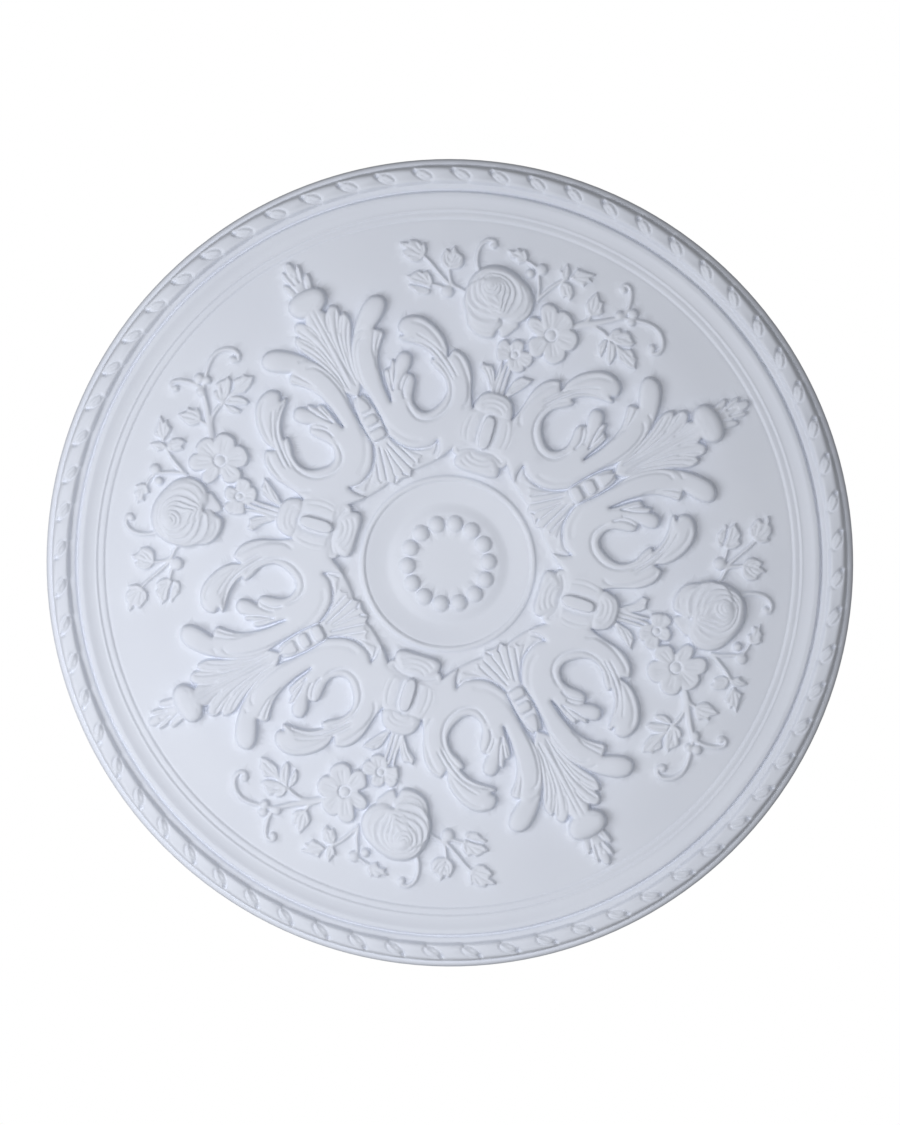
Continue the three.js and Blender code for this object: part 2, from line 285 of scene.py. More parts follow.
def bulged(share):
    """A rounded rise: 0 at the edge, steep at first, 1 where share is 1."""
    return np.sqrt(1 - (1 - np.clip(share, 0, 1)) ** 2)


def line_cut(away, depth, width):
    """How deep a soft line is at some distance from its middle."""
    return depth * np.exp(-((away / width) ** 2))


def past_axis(outline):
    """An outline of one side, carried past the axis so that the axis isn't an edge of it."""
    return np.vstack([outline, [PAST_AXIS, outline[-1][1]], [PAST_AXIS, outline[0][1]]])


class Relief:
    """The height of some ornament over the ground at every point (x, y), in millimetres."""

    def __init__(self, x, y):
        self.x = x
        self.y = y
        self.height = np.zeros_like(x)

    def near(self, points, reach):
        """The points within reach of the box round some others."""
        low = points[:, :2].min(axis=0) - reach
        high = points[:, :2].max(axis=0) + reach
        across = (self.x > low[0]) & (self.x < high[0])
        return np.nonzero(across & (self.y > low[1]) & (self.y < high[1]))

    def lift(self, where, rise):
        """Raises the relief where it is lower than a new form."""
        self.height[where] = np.maximum(self.height[where], rise)

    def within(self, loop):
        """The points that an outline holds, and how far in from the outline each lies."""
        where = self.near(loop, 0)
        x, y = self.x[where], self.y[where]
        held = is_inside(loop, x, y)
        where = tuple(index[held] for index in where)
        away, _, _ = nearest(np.vstack([loop, loop[:1]]), x[held], y[held])
        return where, away

    def pad(self, loop, height, edge, wall=WALL_SHARE):
        """A plate: a steep wall along its outline, then a rounded shoulder up to a flat top."""
        where, away = self.within(loop)
        rise = height * (wall + (1 - wall) * bulged(away / edge))
        self.lift(where, rise * np.clip(away / WALL, 0, 1))

    def shell(self, loop, height):
        """A petal wound round others: highest along its rim, lower inside."""
        where, away = self.within(loop)
        rise = height - PETAL_DIP * eased((away - PETAL_RIM) / PETAL_SLOPE)
        self.lift(where, rise * np.clip(away / WALL, 0, 1))

    def press(self, loop, level):
        """Lowers what stands inside an outline to a level."""
        where, away = self.within(loop)
        self.height[where] = np.minimum(self.height[where], level)

    def stroke(self, points, height):
        """A rounded band along a curve of points (x, y, half width)."""
        path = smooth_path(points)
        where = self.near(path, path[:, 2].max() + 1)
        away, _, carried = nearest(path, self.x[where], self.y[where])
        width = np.maximum(carried[0], 0.05)
        rise = height * (WALL_SHARE + (1 - WALL_SHARE) * bulged(1 - away / width))
        self.lift(where, np.where(away < width, rise * np.clip((width - away) / WALL, 0, 1), 0))

    def ball(self, centre, radius, height):
        """A berry, bead or bud."""
        where = self.near(np.array([centre, centre], float), radius)
        away = np.hypot(self.x[where] - centre[0], self.y[where] - centre[1])
        rise = height * (BALL_WALL_SHARE + (1 - BALL_WALL_SHARE) * bulged(1 - away / radius))
        rise = rise * np.clip((radius - away) / WALL, 0, 1)
        self.lift(where, np.where(away < radius, rise, 0))

    def swell(self, centre, radius, rise):
        """Raises what stands round a point by a soft bump."""
        away = np.hypot(self.x - centre[0], self.y - centre[1])
        self.height += line_cut(away, rise, radius) * eased(self.height / SWELL_FROM)

    def groove(self, points, depth, width, fade=0.1):
        """A line cut along a curve into what stands there, that runs out at both ends."""
        path = smooth_path(points)
        where = self.near(path, 3 * width)
        away, along, _ = nearest(path, self.x[where], self.y[where])
        ends = eased(np.minimum(along, 1 - along) / fade)
        height = self.height[where]
        cut = line_cut(away, depth * ends, width) * eased(height / CUT_FROM)
        self.height[where] = np.maximum(height - cut, 0)


# The scroll group, drawn for one side of its axis: x to the right, y outwards from the middle

def skirt_edge():
    """The edge of the scroll bodies that stands over the skirt leaf, from the tie outwards."""
    return [(8.5, 141), (12, 133), (17, 124.5), (24, 117.5), (33, 113), (42, 111.3), (50, 113)]


def scroll_outline():
    """The outline of one scroll: its C-shaped body, clubs, fingers and arm, round the open eye."""
    return cornered(
        # The foot of the body, and its way under the side lobe of the buckle
        [(38, 96.5), (47, 96), (56, 97.5), (63, 98), (72, 92)],
        [(80, 102), (90, 114), (97, 126)],
        # The outer edge of the C, up to the notch under the outer club
        [(100.5, 135), (106, 145), (110.5, 153), (113.4, 161), (114.5, 169), (113.5, 176.5),
         (110.5, 182.5), (106.5, 185.8), (99, 182.5)],
        # The outer club and its finger
        [(103.2, 191), (104.5, 201), (103.2, 211), (99.8, 221), (94.5, 229.5), (87, 235), (78, 237.3),
         (71.5, 235.5), (67.3, 231), (66.8, 226.5), (69, 222.8)],
        [(66, 223.6), (63.2, 221.6), (65, 217.5), (73, 210.3), (80, 201.8), (83.6, 194), (85.2, 187.5)],
        # The outer tip of the eye, its round edge and its inner tip
        [(83.2, 188.4), (80.8, 186.8), (80.2, 182.6), (81.6, 176), (84.4, 167.5), (83.6, 158.5),
         (80, 151.5), (73, 146.7), (65.5, 144.2), (58, 143.2), (52, 145), (48.2, 150), (46.8, 157),
         (49, 163.4), (53.4, 169.2), (58, 175), (59.8, 180), (58.4, 184.3), (55.5, 187)],
        # The inner club with its scalloped top
        [(60.5, 190.3), (65, 195), (67.2, 200), (65.8, 204.6), (62, 207.8), (57.5, 208.3), (53, 206.3),
         (50.2, 203.8)],
        [(48.3, 206), (45.3, 205), (42.6, 201)],
        [(39.5, 200.6), (36, 200.6), (33.8, 198)],
        [(31.8, 191), (30.2, 184), (29.2, 177), (27.3, 170)],
        # The finger of the arm
        [(28, 177), (28.9, 187), (31.2, 198), (34.6, 209), (39.4, 218), (46.4, 225.6), (52.6, 230.8),
         (53.8, 235), (51.2, 239.3), (47.5, 241.6)],
        # The club of the arm and its long edge beside the leaf and the tie
        [(55, 245.3), (63, 250.4), (68.6, 256.4), (70.2, 262.3), (67, 268.2), (60, 271.3),
         (51.5, 269.8), (42, 264), (32.5, 255.6), (24, 245.3), (17, 234), (12, 221.5), (9, 210),
         (8, 200), (8.8, 189), (10, 176), (10.2, 163), (9.4, 151), (8.5, 141)],
        skirt_edge()[1:],
        [(46, 105), (38, 96.5)],
    )


def scroll(x, y):
    """One scroll with the creases and flutes that run over it."""
    part = Relief(x, y)
    part.pad(scroll_outline(), SCROLL_HEIGHT, 6.5)
    part.swell((84, 222), 16, 1.2)
    part.swell((58, 199), 9, 0.9)
    part.swell((56, 259), 16, 2.0)
    part.swell((22, 215), 30, 0.6)
    # The rolled outer edge and the rolled rim of the eye
    part.groove([(103, 183), (107.6, 176), (107.4, 163), (104.6, 150), (99.5, 139), (93, 132), (84, 129)],
                1.5, 1.8)
    part.groove([(41.5, 166), (40, 154), (42, 143.5), (49, 136.5), (58, 134), (67, 135), (76, 138.5),
                 (83, 145), (88, 154), (89.8, 166), (88.6, 177), (84.6, 187.5)], 1.8, 1.7)
    # The inner tip and the foot of the inner club
    part.groove([(57.5, 184.5), (52, 181.8), (46, 177), (42, 171), (40.5, 164)], 2.2, 1.4)
    part.groove([(56, 187.6), (49.5, 185), (44, 180.5), (40, 174.5)], 2.0, 1.5)
    # The outer club
    part.groove([(97.6, 184), (98.3, 195), (97.6, 206), (94, 218), (87.5, 227), (81, 230.5)], 1.3, 1.8)
    part.groove([(65.5, 219.8), (75, 213.4), (83, 205), (88.6, 195), (91.3, 184), (92.7, 171),
                 (92.8, 156)], 2.2, 1.1)
    part.groove([(80.5, 219), (86, 210.5), (91.5, 199.5), (95.6, 187.5), (97.4, 174), (97.6, 158)],
                1.5, 1.1)
    part.groove([(76, 217), (82.5, 209.5), (88, 200), (91.5, 190)], 1.2, 1.1)
    # The inner club
    part.groove([(51, 204.8), (47.6, 198.5), (43.4, 191), (38.5, 184), (33, 177)], 2.2, 1.1, 0.06)
    part.groove([(42.3, 202), (39.6, 195), (36.8, 187), (34, 178)], 2.0, 1.2, 0.06)
    part.groove([(37, 200), (35.6, 193), (33.6, 185)], 1.3, 1.1)
    # The arm with its hooks, and its finger
    part.groove([(10.6, 176), (10.8, 192), (12.2, 206), (15.2, 219), (20, 230), (26, 237), (33.5, 238.6)],
                1.4, 1.4, 0.05)
    part.groove([(23.5, 243.5), (29.5, 246.8), (37, 247.2)], 1.3, 1.3)
    part.groove([(51.5, 236), (45.5, 230.2), (39, 222.6), (34, 213.5), (30.5, 203)], 1.7, 1.2)
    part.groove([(46.5, 240), (41, 232.5), (36, 224), (32.6, 215)], 1.5, 1.2)
    # The shoulder beside the tie
    part.groove([(11.5, 165), (13.5, 150), (18, 138), (26, 127), (38, 120)], 0.8, 2.4)
    return part.height


def scroll_foot(x, y):
    """The low band at the foot of the scrolls, under the tips of the skirt."""
    part = Relief(x, y)
    loop = cornered([(11, 99), (20, 97), (32, 96), (45, 96)], [(50, 112), (30, 114), (14, 116), (11, 99)])
    part.pad(loop, SCROLL_HEIGHT - 4, 5)
    return part.height


def skirt(x, y):
    """The small leaf that spreads from the tie between the scrolls, lower than they are."""
    part = Relief(x, y)
    loop = cornered(skirt_edge(), [(46, 107.5), (39.5, 101.5)], [(31, 106), (25, 105)],
                    [(22.5, 101.2), (18, 102.5), (13, 98.5), (9, 93.5)], [(4, 95), (0, 95.5)])
    part.pad(past_axis(loop), SCROLL_HEIGHT - 2.6, 2.5, 0.65)
    part.groove([(8.6, 138), (13.5, 125), (18.5, 111), (20.5, 104)], 2.2, 1.1, 0.06)
    part.groove([(4, 136), (8, 121), (12.6, 105), (15, 99)], 1.9, 1.1, 0.06)
    part.groove([(0.8, 132), (2.5, 115), (5, 101)], 1.3, 1.0)
    part.groove([(3, 101.5), (6, 98), (9.5, 94)], 3.0, 1.2, 0.05)
    part.groove([(11.5, 134), (19.5, 119), (29.5, 108.5), (37.5, 104)], 1.7, 1.1)
    part.groove([(15, 127.5), (25, 116), (36, 111), (45, 110)], 1.3, 1.0)
    return part.height


def tie(x, y):
    """Two rings and a pointed bud on the axis."""
    part = Relief(x, y)
    ground = [(9.8, 140), (10.4, 156), (10.2, 168), (8.8, 182), (6, 190)]
    low_ring = [(0, 140), (5.5, 140.5), (8.6, 143.5), (9.3, 147.3), (8, 151.6), (5, 153.4), (0, 153.6)]
    high_ring = [(0, 156), (5.2, 156.4), (8.0, 158.8), (8.5, 162.5), (7.4, 166.2), (4.6, 168.2), (0, 168.6)]
    bud = [(0, 171), (4.8, 171.2), (7.4, 174), (7, 179), (5, 185), (2, 189.8), (0, 191.6)]
    part.pad(past_axis(ground), SCROLL_HEIGHT - 2.2, 2.5)
    part.pad(past_axis(smooth_path(low_ring)), TIE_HEIGHT - 1.2, 4.5, 0.5)
    part.pad(past_axis(smooth_path(high_ring)), TIE_HEIGHT - 1.8, 4, 0.5)
    part.pad(past_axis(smooth_path(bud)), TIE_HEIGHT - 2.6, 4)
    return part.height


def central_leaf(x, y):
    """The tall leaf between the arms, with flutes that fan out from its axis."""
    part = Relief(x, y)
    loop = cornered([(0, 188), (9, 198), (12, 215), (17, 231), (22.5, 243), (27.5, 252), (30.3, 259.5),
                     (30.4, 266), (27.8, 271), (24, 270.3)], [(25.2, 275), (23.6, 280.2), (19.6, 282.8),
                                                              (15.5, 282), (12, 279)], [(7, 288),
                                                                                        (0, 292)])
    part.pad(past_axis(loop), LEAF_HEIGHT - 2.5, 4)
    part.swell((0, 272), 26, 1.2)
    part.swell((0, 287), 12, 3.6)
    part.groove([(2.0, 200), (2.4, 222), (2.5, 255), (2.6, 287)], 1.2, 1.0)
    part.groove([(3.2, 208), (3.8, 228), (5.6, 252), (9.6, 267), (14, 277)], 1.3, 1.0)
    part.groove([(3.8, 198), (5.2, 220), (9.5, 246), (15, 263), (22.5, 277.5)], 1.7, 1.1, 0.06)
    part.groove([(6, 210), (12.5, 243), (19, 257.5), (26, 268)], 1.4, 1.0)
    part.groove([(6.4, 200), (8.6, 218), (15, 239), (22, 253), (29, 262.5)], 1.5, 1.0)
    part.groove([(24.5, 271), (18.5, 263), (13, 252)], 1.8, 1.2)
    part.groove([(12.5, 279.5), (7.5, 270), (4.8, 258)], 1.8, 1.2)
    return part.height


def leaf_curl(x, y):
    """The tip of the leaf, curled over towards the viewer, with its scalloped lip."""
    part = Relief(x, y)
    curl = [(0, 280.5), (9, 282), (15.5, 285.5), (19.6, 291), (20.4, 297), (17.6, 303), (11, 307),
            (0, 308.7)]
    part.pad(past_axis(smooth_path(curl)), LEAF_HEIGHT + 3, 9)
    part.groove([(17, 288), (13, 290), (9, 288.6), (5, 290.4), (0, 288.4), (-4, 290)], 0.6, 1.2, 0.04)
    part.groove([(2.4, 276), (2.4, 289)], 1.3, 1.1, 0.3)
    return part.height


def finial(x, y):
    """The small lobed top over the curl."""
    part = Relief(x, y)
    loop = cornered([(11, 302), (13.6, 311), (15, 319), (13.4, 322.4), (10, 322), (8, 319.5)],
                    [(10, 326), (10.3, 332.2), (8.2, 334.8), (5.4, 332.5)],
                    [(4.6, 337.5), (2.2, 340.4), (0, 341.2)])
    part.pad(past_axis(loop), LEAF_HEIGHT - 4.2, 3, 0.5)
    part.groove([(8.4, 321), (6, 314), (4.5, 308)], 2.2, 1.1)
    part.groove([(5.6, 333), (4.4, 326), (3.2, 317)], 2.0, 1.1)
    part.groove([(0, 329), (2, 323), (3, 316)], 1.4, 1.0)
    return part.height


def scroll_group(x, y):
    """One scroll group, the same on both sides of its axis."""
    side = np.abs(x)
    layers = (scroll, scroll_foot, skirt, central_leaf, leaf_curl, finial, tie)
    return np.maximum.reduce([layer(side, y) for layer in layers])


# The buckle where two scrolls meet

def buckle(x, y):
    """A cap, two side lobes and an end lobe round a long pill."""
    part = Relief(np.abs(x), y)
    shoulder = cornered([(0, 124), (20, 124), (29.5, 122), (29.5, 114), (24, 106), (0, 103)])
    part.pad(past_axis(shoulder), BUCKLE_HEIGHT - 3.8, 4, 0.5)
    lobes = cornered([(0, 160), (12, 160), (20.4, 157.5), (25.2, 152), (29, 145), (30.8, 137),
                      (30.3, 128.5), (27.3, 121.8), (21, 119.4), (12, 119), (0, 118.5)])
    part.pad(past_axis(lobes), BUCKLE_HEIGHT - 2.4, 6, 0.4)
    end_lobe = smooth_path([(0, 118), (8, 117.8), (15, 115), (20.8, 110), (24, 103.5), (22.6, 97), (16, 94),
                            (7, 93.6), (0, 93.8)])
    part.pad(past_axis(end_lobe), BUCKLE_HEIGHT - 2.2, 7, 0.4)
    cap = smooth_path([(0, 178), (6.5, 177.5), (12.2, 175.5), (16.8, 171.3), (19.4, 165.3), (20.6, 158.5),
                       (16, 153), (8, 152), (0, 152)])
    part.pad(past_axis(cap), BUCKLE_HEIGHT - 1.4, 8, 0.5)
    part.groove([(23.5, 111.5), (17, 115.6), (9.5, 118), (0, 118.6), (-6, 118.4)], 1.3, 1.1, 0.05)
    part.groove([(21.5, 157.5), (15, 155.2), (8, 155.2), (4, 156)], 0.5, 1.2)
    for reach in (18.0, 23.5):
        part.groove([(reach - 1.4, 153), (reach + 1.2, 143), (reach + 1.4, 132), (reach - 1.4, 122)],
                    0.7, 1.2, 0.2)
    for height, reach in ((98.6, 17.5), (103.6, 14.5), (108.6, 11.0)):
        part.groove([(-5, height + 0.4), (0, height), (0.55 * reach, height + 1.2),
                     (reach, height + 5.2)], 0.9, 1.2)
    for height, reach in ((173.0, 14.5), (168.0, 13.0), (163.2, 10.5)):
        part.groove([(-5, height - 0.4), (0, height), (0.6 * reach, height - 1.4), (reach, height - 6)],
                    0.8, 1.2)
    pill = smooth_path([(0, 154.5), (4, 152.8), (6.4, 147.5), (7.0, 137), (6.6, 127), (4.4, 120.6),
                        (0, 118.2)])
    ring = smooth_path([(0, 157), (6, 155), (9, 149), (9.8, 137), (9.2, 126), (6.4, 118.6), (0, 116.2)])
    part.press(past_axis(ring), BUCKLE_HEIGHT - 3)
    part.pad(past_axis(pill), PILL_HEIGHT - 1, 3, 0.75)
    return part.height


# The spray of flowers

def rose_petals():
    """Outlines and heights of the petals wound round the bud, from the outside in."""
    right = (
        [(-13, 250.5), (1, 258), (3.6, 272), (-4.6, 286), (-24, 296.6), (-46, 295), (-57, 283), (-56, 266),
         (-43, 250.5), (-26, 247.5)],
        [(-15, 251), (-6, 261), (-3.5, 275), (-12, 289), (-28, 295.5), (-45, 293), (-54, 281), (-53, 266),
         (-42, 253), (-27, 248)],
        [(-16, 252.5), (-12.5, 262), (-11, 275), (-17, 286), (-29, 291.8), (-43, 290), (-51, 279.5),
         (-50, 266), (-40, 256), (-27, 251)],
        [(-18, 255), (-17.5, 265), (-17, 277), (-22, 285), (-31, 288.8), (-42, 287), (-48, 278.5),
         (-47, 268), (-39, 260), (-28, 255)],
        [(-21, 258.5), (-22, 269), (-22.4, 279), (-26.5, 284.6), (-33.5, 287), (-41, 285.5), (-46, 278.5),
         (-45, 270), (-39, 264), (-30, 259.5)],
    )
    left = ([(-61, 261), (-57, 249.5), (-47, 240.5), (-33, 239), (-20, 245), (-24, 256), (-40, 258),
             (-55, 271)], [(-61, 270), (-57, 256), (-46, 249), (-32, 248), (-20.5, 253), (-25, 262),
                           (-40, 266), (-52, 278)], [(-56.5, 274), (-52.5, 261), (-43, 255), (-31, 254),
                                                     (-21, 257.5), (-27, 266), (-40, 270), (-49, 282)],
            [(-52, 277), (-48, 266.5), (-40, 261), (-30, 259.5), (-23, 262.5), (-29, 270), (-38, 273),
             (-46, 284)], )
    for layer, loop in enumerate(right):
        yield smooth_loop(loop), ROSE_HEIGHT - 5.3 + 0.7 * layer
    for layer, loop in enumerate(left):
        yield smooth_loop(loop), ROSE_HEIGHT - 5.0 + 0.8 * layer
    for layer, (x, y, size) in enumerate(((-37, 276.5, 10.4), (-37.8, 277.6, 7.2), (-38.4, 278.6, 4.2))):
        yield oval((x, y), size, 0.92 * size, 30), ROSE_HEIGHT - 1.8 + 0.6 * layer


def rose(x, y):
    """The open rose: a low cupped petal, a flap and petals wound round a bud."""
    part = Relief(x, y)
    cup = smooth_loop([(-55, 250), (-53.5, 241), (-48.5, 232.5), (-40, 227.5), (-30, 225.8),
                       (-21.5, 228.5), (-19, 236), (-16, 246), (-28, 258), (-45, 258)])
    flap = smooth_loop([(-20, 246), (-18.4, 236), (-14, 231), (-8.5, 233.5), (-3.5, 240.5), (0.5, 247.5),
                        (-4, 256), (-14, 256)])
    outer = smooth_loop([(-61.5, 267), (-60, 279.5), (-54, 290.5), (-44, 297.5), (-31, 299.8),
                         (-18.5, 297), (-7.5, 291.7), (1.5, 285.5), (7.5, 276.5), (9, 265.5), (5.5, 256),
                         (-1.5, 249.5), (-10, 246.5), (-21, 249), (-33, 246.8), (-46, 248), (-56, 253.5),
                         (-60.3, 259.5)])
    part.pad(cup, ROSE_HEIGHT - 6.6, 7)
    part.pad(flap, ROSE_HEIGHT - 9.5, 5, 0.4)
    part.pad(outer, ROSE_HEIGHT - 5.6, 9)
    for petal, height in rose_petals():
        part.shell(petal, height)
    part.groove([(3.5, 283), (5, 272), (2.5, 261), (-3.5, 252.5)], 0.9, 1.2)
    part.groove([(-54, 249), (-46, 236), (-34, 231.5), (-23, 235)], 1.0, 1.1)
    return part.height


def flower(x, y, eye, eye_radius, petals, height):
    """An open flower: overlapping petals, each with two folds towards the eye, and a flat ringed eye."""
    whole = Relief(x, y)
    eye = np.array(eye, float)
    whole.pad(circle(eye, HEART_RADIUS * eye_radius), height - HEART_SINK, 3)
    for turn, shape in enumerate(petals):
        petal = Relief(x, y)
        loop = smooth_loop(shape)
        middle = loop.mean(axis=0)
        loop = middle + PETAL_SPREAD * (loop - middle)
        petal.pad(loop, height - LOWER_PETAL * (turn % 2), 3, 0.55)
        out = (middle - eye) / np.hypot(*(middle - eye))
        across = np.array([-out[1], out[0]])
        for side in (-1, 1):
            near_eye = eye + FOLD_START * eye_radius * out + FOLD_GAPS[0] * side * across
            far = middle + FOLD_END * (middle - eye) + FOLD_GAPS[1] * side * across
            petal.groove([near_eye, (near_eye + far) / 2, far], FOLD_DEPTH, FOLD_WIDTH, 0.25)
        whole.height = np.maximum(whole.height, petal.height)
    whole.press(circle(eye, eye_radius + EYE_RING), height - RING_SINK)
    whole.pad(circle(eye, eye_radius), height - EYE_SINK, 1.6, 0.7)
    return whole.height


def large_flower(x, y):
    """The open flower beside the rose."""
    petals = ([(16.5, 268), (18.5, 274.5), (25, 277), (31.5, 274), (34.5, 266), (34, 255), (29, 250),
               (22.5, 256)], [(32.5, 268), (37, 273.6), (44, 272.8), (50, 267.5), (51, 261), (45, 256),
                              (37, 250.5), (33, 257)], [(43, 256.5), (52, 258.4), (58.5, 254.5),
                                                        (60.2, 247), (56.8, 239.8), (49.5, 238),
                                                        (42, 242), (38, 248)], [(37, 245), (46, 242),
                                                                                (52, 235), (51, 227.5),
                                                                                (43.5, 221.6),
                                                                                (35.5, 223), (31.5, 230),
                                                                                (31, 240)], [(33, 244),
                                                                                             (32, 234),
                                                                                             (29.5, 226),
                                                                                             (23.5, 223.2),
                                                                                             (17, 227.5),
                                                                                             (14.2, 236),
                                                                                             (19, 241.5),
                                                                                             (27, 243.5)],
              [(29, 249), (21, 244.5), (13, 247), (7.8, 252.5), (9.5, 259), (16, 260.6), (23, 257),
               (29, 252)], )
    return flower(x, y, (33, 247.8), 5.6, petals, FLOWER_HEIGHT - 1.5)


def small_flower(x, y):
    """The smaller flower nearer to the buckle."""
    petals = (
        [(-2.5, 227), (-0.5, 232), (4.5, 234.3), (9.8, 232.3), (11, 227), (8, 221), (4, 218), (0, 221)],
        [(-14.3, 221.5), (-13, 228), (-8.5, 231), (-3.5, 228), (0, 223), (1.5, 219), (-6, 218.5)],
        [(-14, 220), (-12.6, 213), (-9.8, 209), (-4, 210.8), (0.5, 214.5), (2.5, 218.5), (-5, 220.5)],
        [(1.5, 217), (-0.5, 209), (5, 203.2), (11.5, 202.5), (17, 207), (15, 212), (9, 216)],
        [(7, 218), (12, 213), (18, 210.5), (22, 214), (22.8, 220.5), (18.5, 225), (11.5, 224.5)],
    )
    return flower(x, y, (4, 218.8), 3.8, petals, FLOWER_HEIGHT - 2.5)


def leaf(x, y, edges, veins, height=SPRIG_HEIGHT):
    """A small leaf: its outline as smooth edges between corners, and the veins cut in it."""
    part = Relief(x, y)
    part.pad(cornered(*edges), height, SPRIG_SHOULDER, 0.55)
    for vein in veins:
        part.groove(vein, VEIN_DEPTH, VEIN_WIDTH, 0.15)
    return part.height


def stalk(x, y):
    """The stalk of the spray with the two leaves at its foot."""
    part = Relief(x, y)
    part.stroke([(-6.5, 174, 3.0), (-5.4, 188, 2.7), (-5, 198, 2.3), (-6, 208, 1.9)], STEM_HEIGHT + 1)
    part.stroke([(-1.5, 174, 3.0), (-1.6, 190, 2.7), (-1, 208, 2.3)], STEM_HEIGHT + 1.5)
    part.stroke([(3, 174, 3.0), (3, 190, 2.7), (3.5, 206, 2.3)], STEM_HEIGHT + 1.5)
    left = leaf(x, y, (
        [(-8, 176), (-14, 185), (-19.5, 191), (-25.5, 195.5)], [(-25, 203.2)],
        [(-20, 202.2), (-14.5, 203.6)], [(-9.5, 197), (-6, 186), (-5, 176)],
    ), (
        [(-8, 181), (-14, 192), (-22, 200)], [(-7, 183), (-11, 193), (-15.5, 201)],
        [(-12, 184), (-18, 192), (-24, 197)],
    ), SPRIG_HEIGHT + 1)
    right = leaf(x, y, (
        [(5, 176), (7.5, 185), (10, 193)], [(13, 197.2), (18.6, 201)], [(23.5, 200.3), (30, 200.8)],
        [(26, 193), (19, 184.5), (11, 176)],
    ), (
        [(8, 181), (15, 190.5), (27, 199)], [(8.5, 185), (13, 192), (18.5, 198.5)],
        [(11, 181), (19, 188), (26, 195)],
    ), SPRIG_HEIGHT + 1)
    return np.maximum.reduce([part.height, left, right])


def left_branch(x, y):
    """The branch with a berry and three leaves."""
    part = Relief(x, y)
    part.stroke([(-58, 263, 2.4), (-66, 266, 2.4), (-74, 267.5, 2.3), (-79, 272, 2.2), (-83, 281, 2.0)],
                STEM_HEIGHT)
    part.stroke([(-76, 266, 2.4), (-84, 270.5, 2.4), (-95, 277.5, 2.2), (-104, 283.5, 2.1),
                 (-111, 287, 2.0)], STEM_HEIGHT)
    part.stroke([(-80, 262.5, 2.2), (-90, 263, 2.2), (-98, 262, 2.0)], STEM_HEIGHT)
    part.ball((-78.5, 260), 7.0, BERRY_HEIGHT)
    upright = leaf(x, y, (
        [(-84, 281), (-90.5, 283.5), (-94.3, 289), (-93.6, 296), (-92.5, 300.6)],
        [(-89.5, 300.8), (-87.2, 299.5)], [(-86.4, 303.5), (-83.8, 307)], [(-81.6, 303), (-78, 300.4)],
        [(-74, 299.6), (-71, 295), (-70.6, 290), (-74.5, 284), (-84, 281)],
    ), (
        [(-84, 282), (-85, 292), (-84.2, 304)], [(-84, 285), (-89.4, 290), (-91.3, 298)],
        [(-83, 284), (-78, 290), (-76, 298)], [(-84.6, 290), (-88, 294), (-88.6, 299)],
        [(-84, 289), (-80.6, 293), (-79.5, 299)],
    ))
    far = leaf(x, y, (
        [(-110, 287), (-109.6, 293), (-112, 298), (-115, 301.4)], [(-116.8, 298.6)],
        [(-122, 300.4), (-129.6, 299)], [(-130.4, 295.8)], [(-135, 295.2), (-139, 293)],
        [(-136, 290), (-131, 289)], [(-133, 285), (-131, 281.5), (-126.5, 280)],
        [(-122, 277.8), (-115, 279.6), (-110, 287)],
    ), (
        [(-112, 287), (-122, 290), (-136, 292.6)], [(-113, 289), (-119, 294), (-125, 298.6)],
        [(-112, 290), (-115, 295), (-116, 299)], [(-113, 286), (-121, 284.5), (-129, 284)],
        [(-113, 284.5), (-119, 281.5), (-124, 280.5)],
    ))
    near_top = leaf(x, y, (
        [(-95.5, 258), (-94.5, 264.5), (-97.5, 270.5), (-103.8, 275)], [(-107.6, 271.6)],
        [(-112, 272.4), (-116.8, 268.4)], [(-118.4, 265.8)],
        [(-122.4, 263.2), (-119, 260.4), (-114.5, 258)], [(-105, 259), (-95.5, 258)],
    ), (
        [(-97, 260.5), (-106, 263), (-119, 263)], [(-97, 261.5), (-105, 266), (-113.5, 269.6)],
        [(-96.5, 262.5), (-101, 267.5), (-104.2, 272.4)],
    ))
    near_low = leaf(x, y, (
        [(-95, 257.8), (-94.5, 253.5), (-98.5, 250), (-106.5, 248.6)],
        [(-112, 252), (-117.8, 253.5), (-116.6, 256.6)], [(-105, 258), (-95, 257.8)],
    ), (
        [(-97, 256), (-105, 254.6), (-115, 255)], [(-98, 254.5), (-102, 252), (-106, 250)],
    ), SPRIG_HEIGHT - 1)
    return np.maximum.reduce([part.height, upright, far, near_top, near_low])


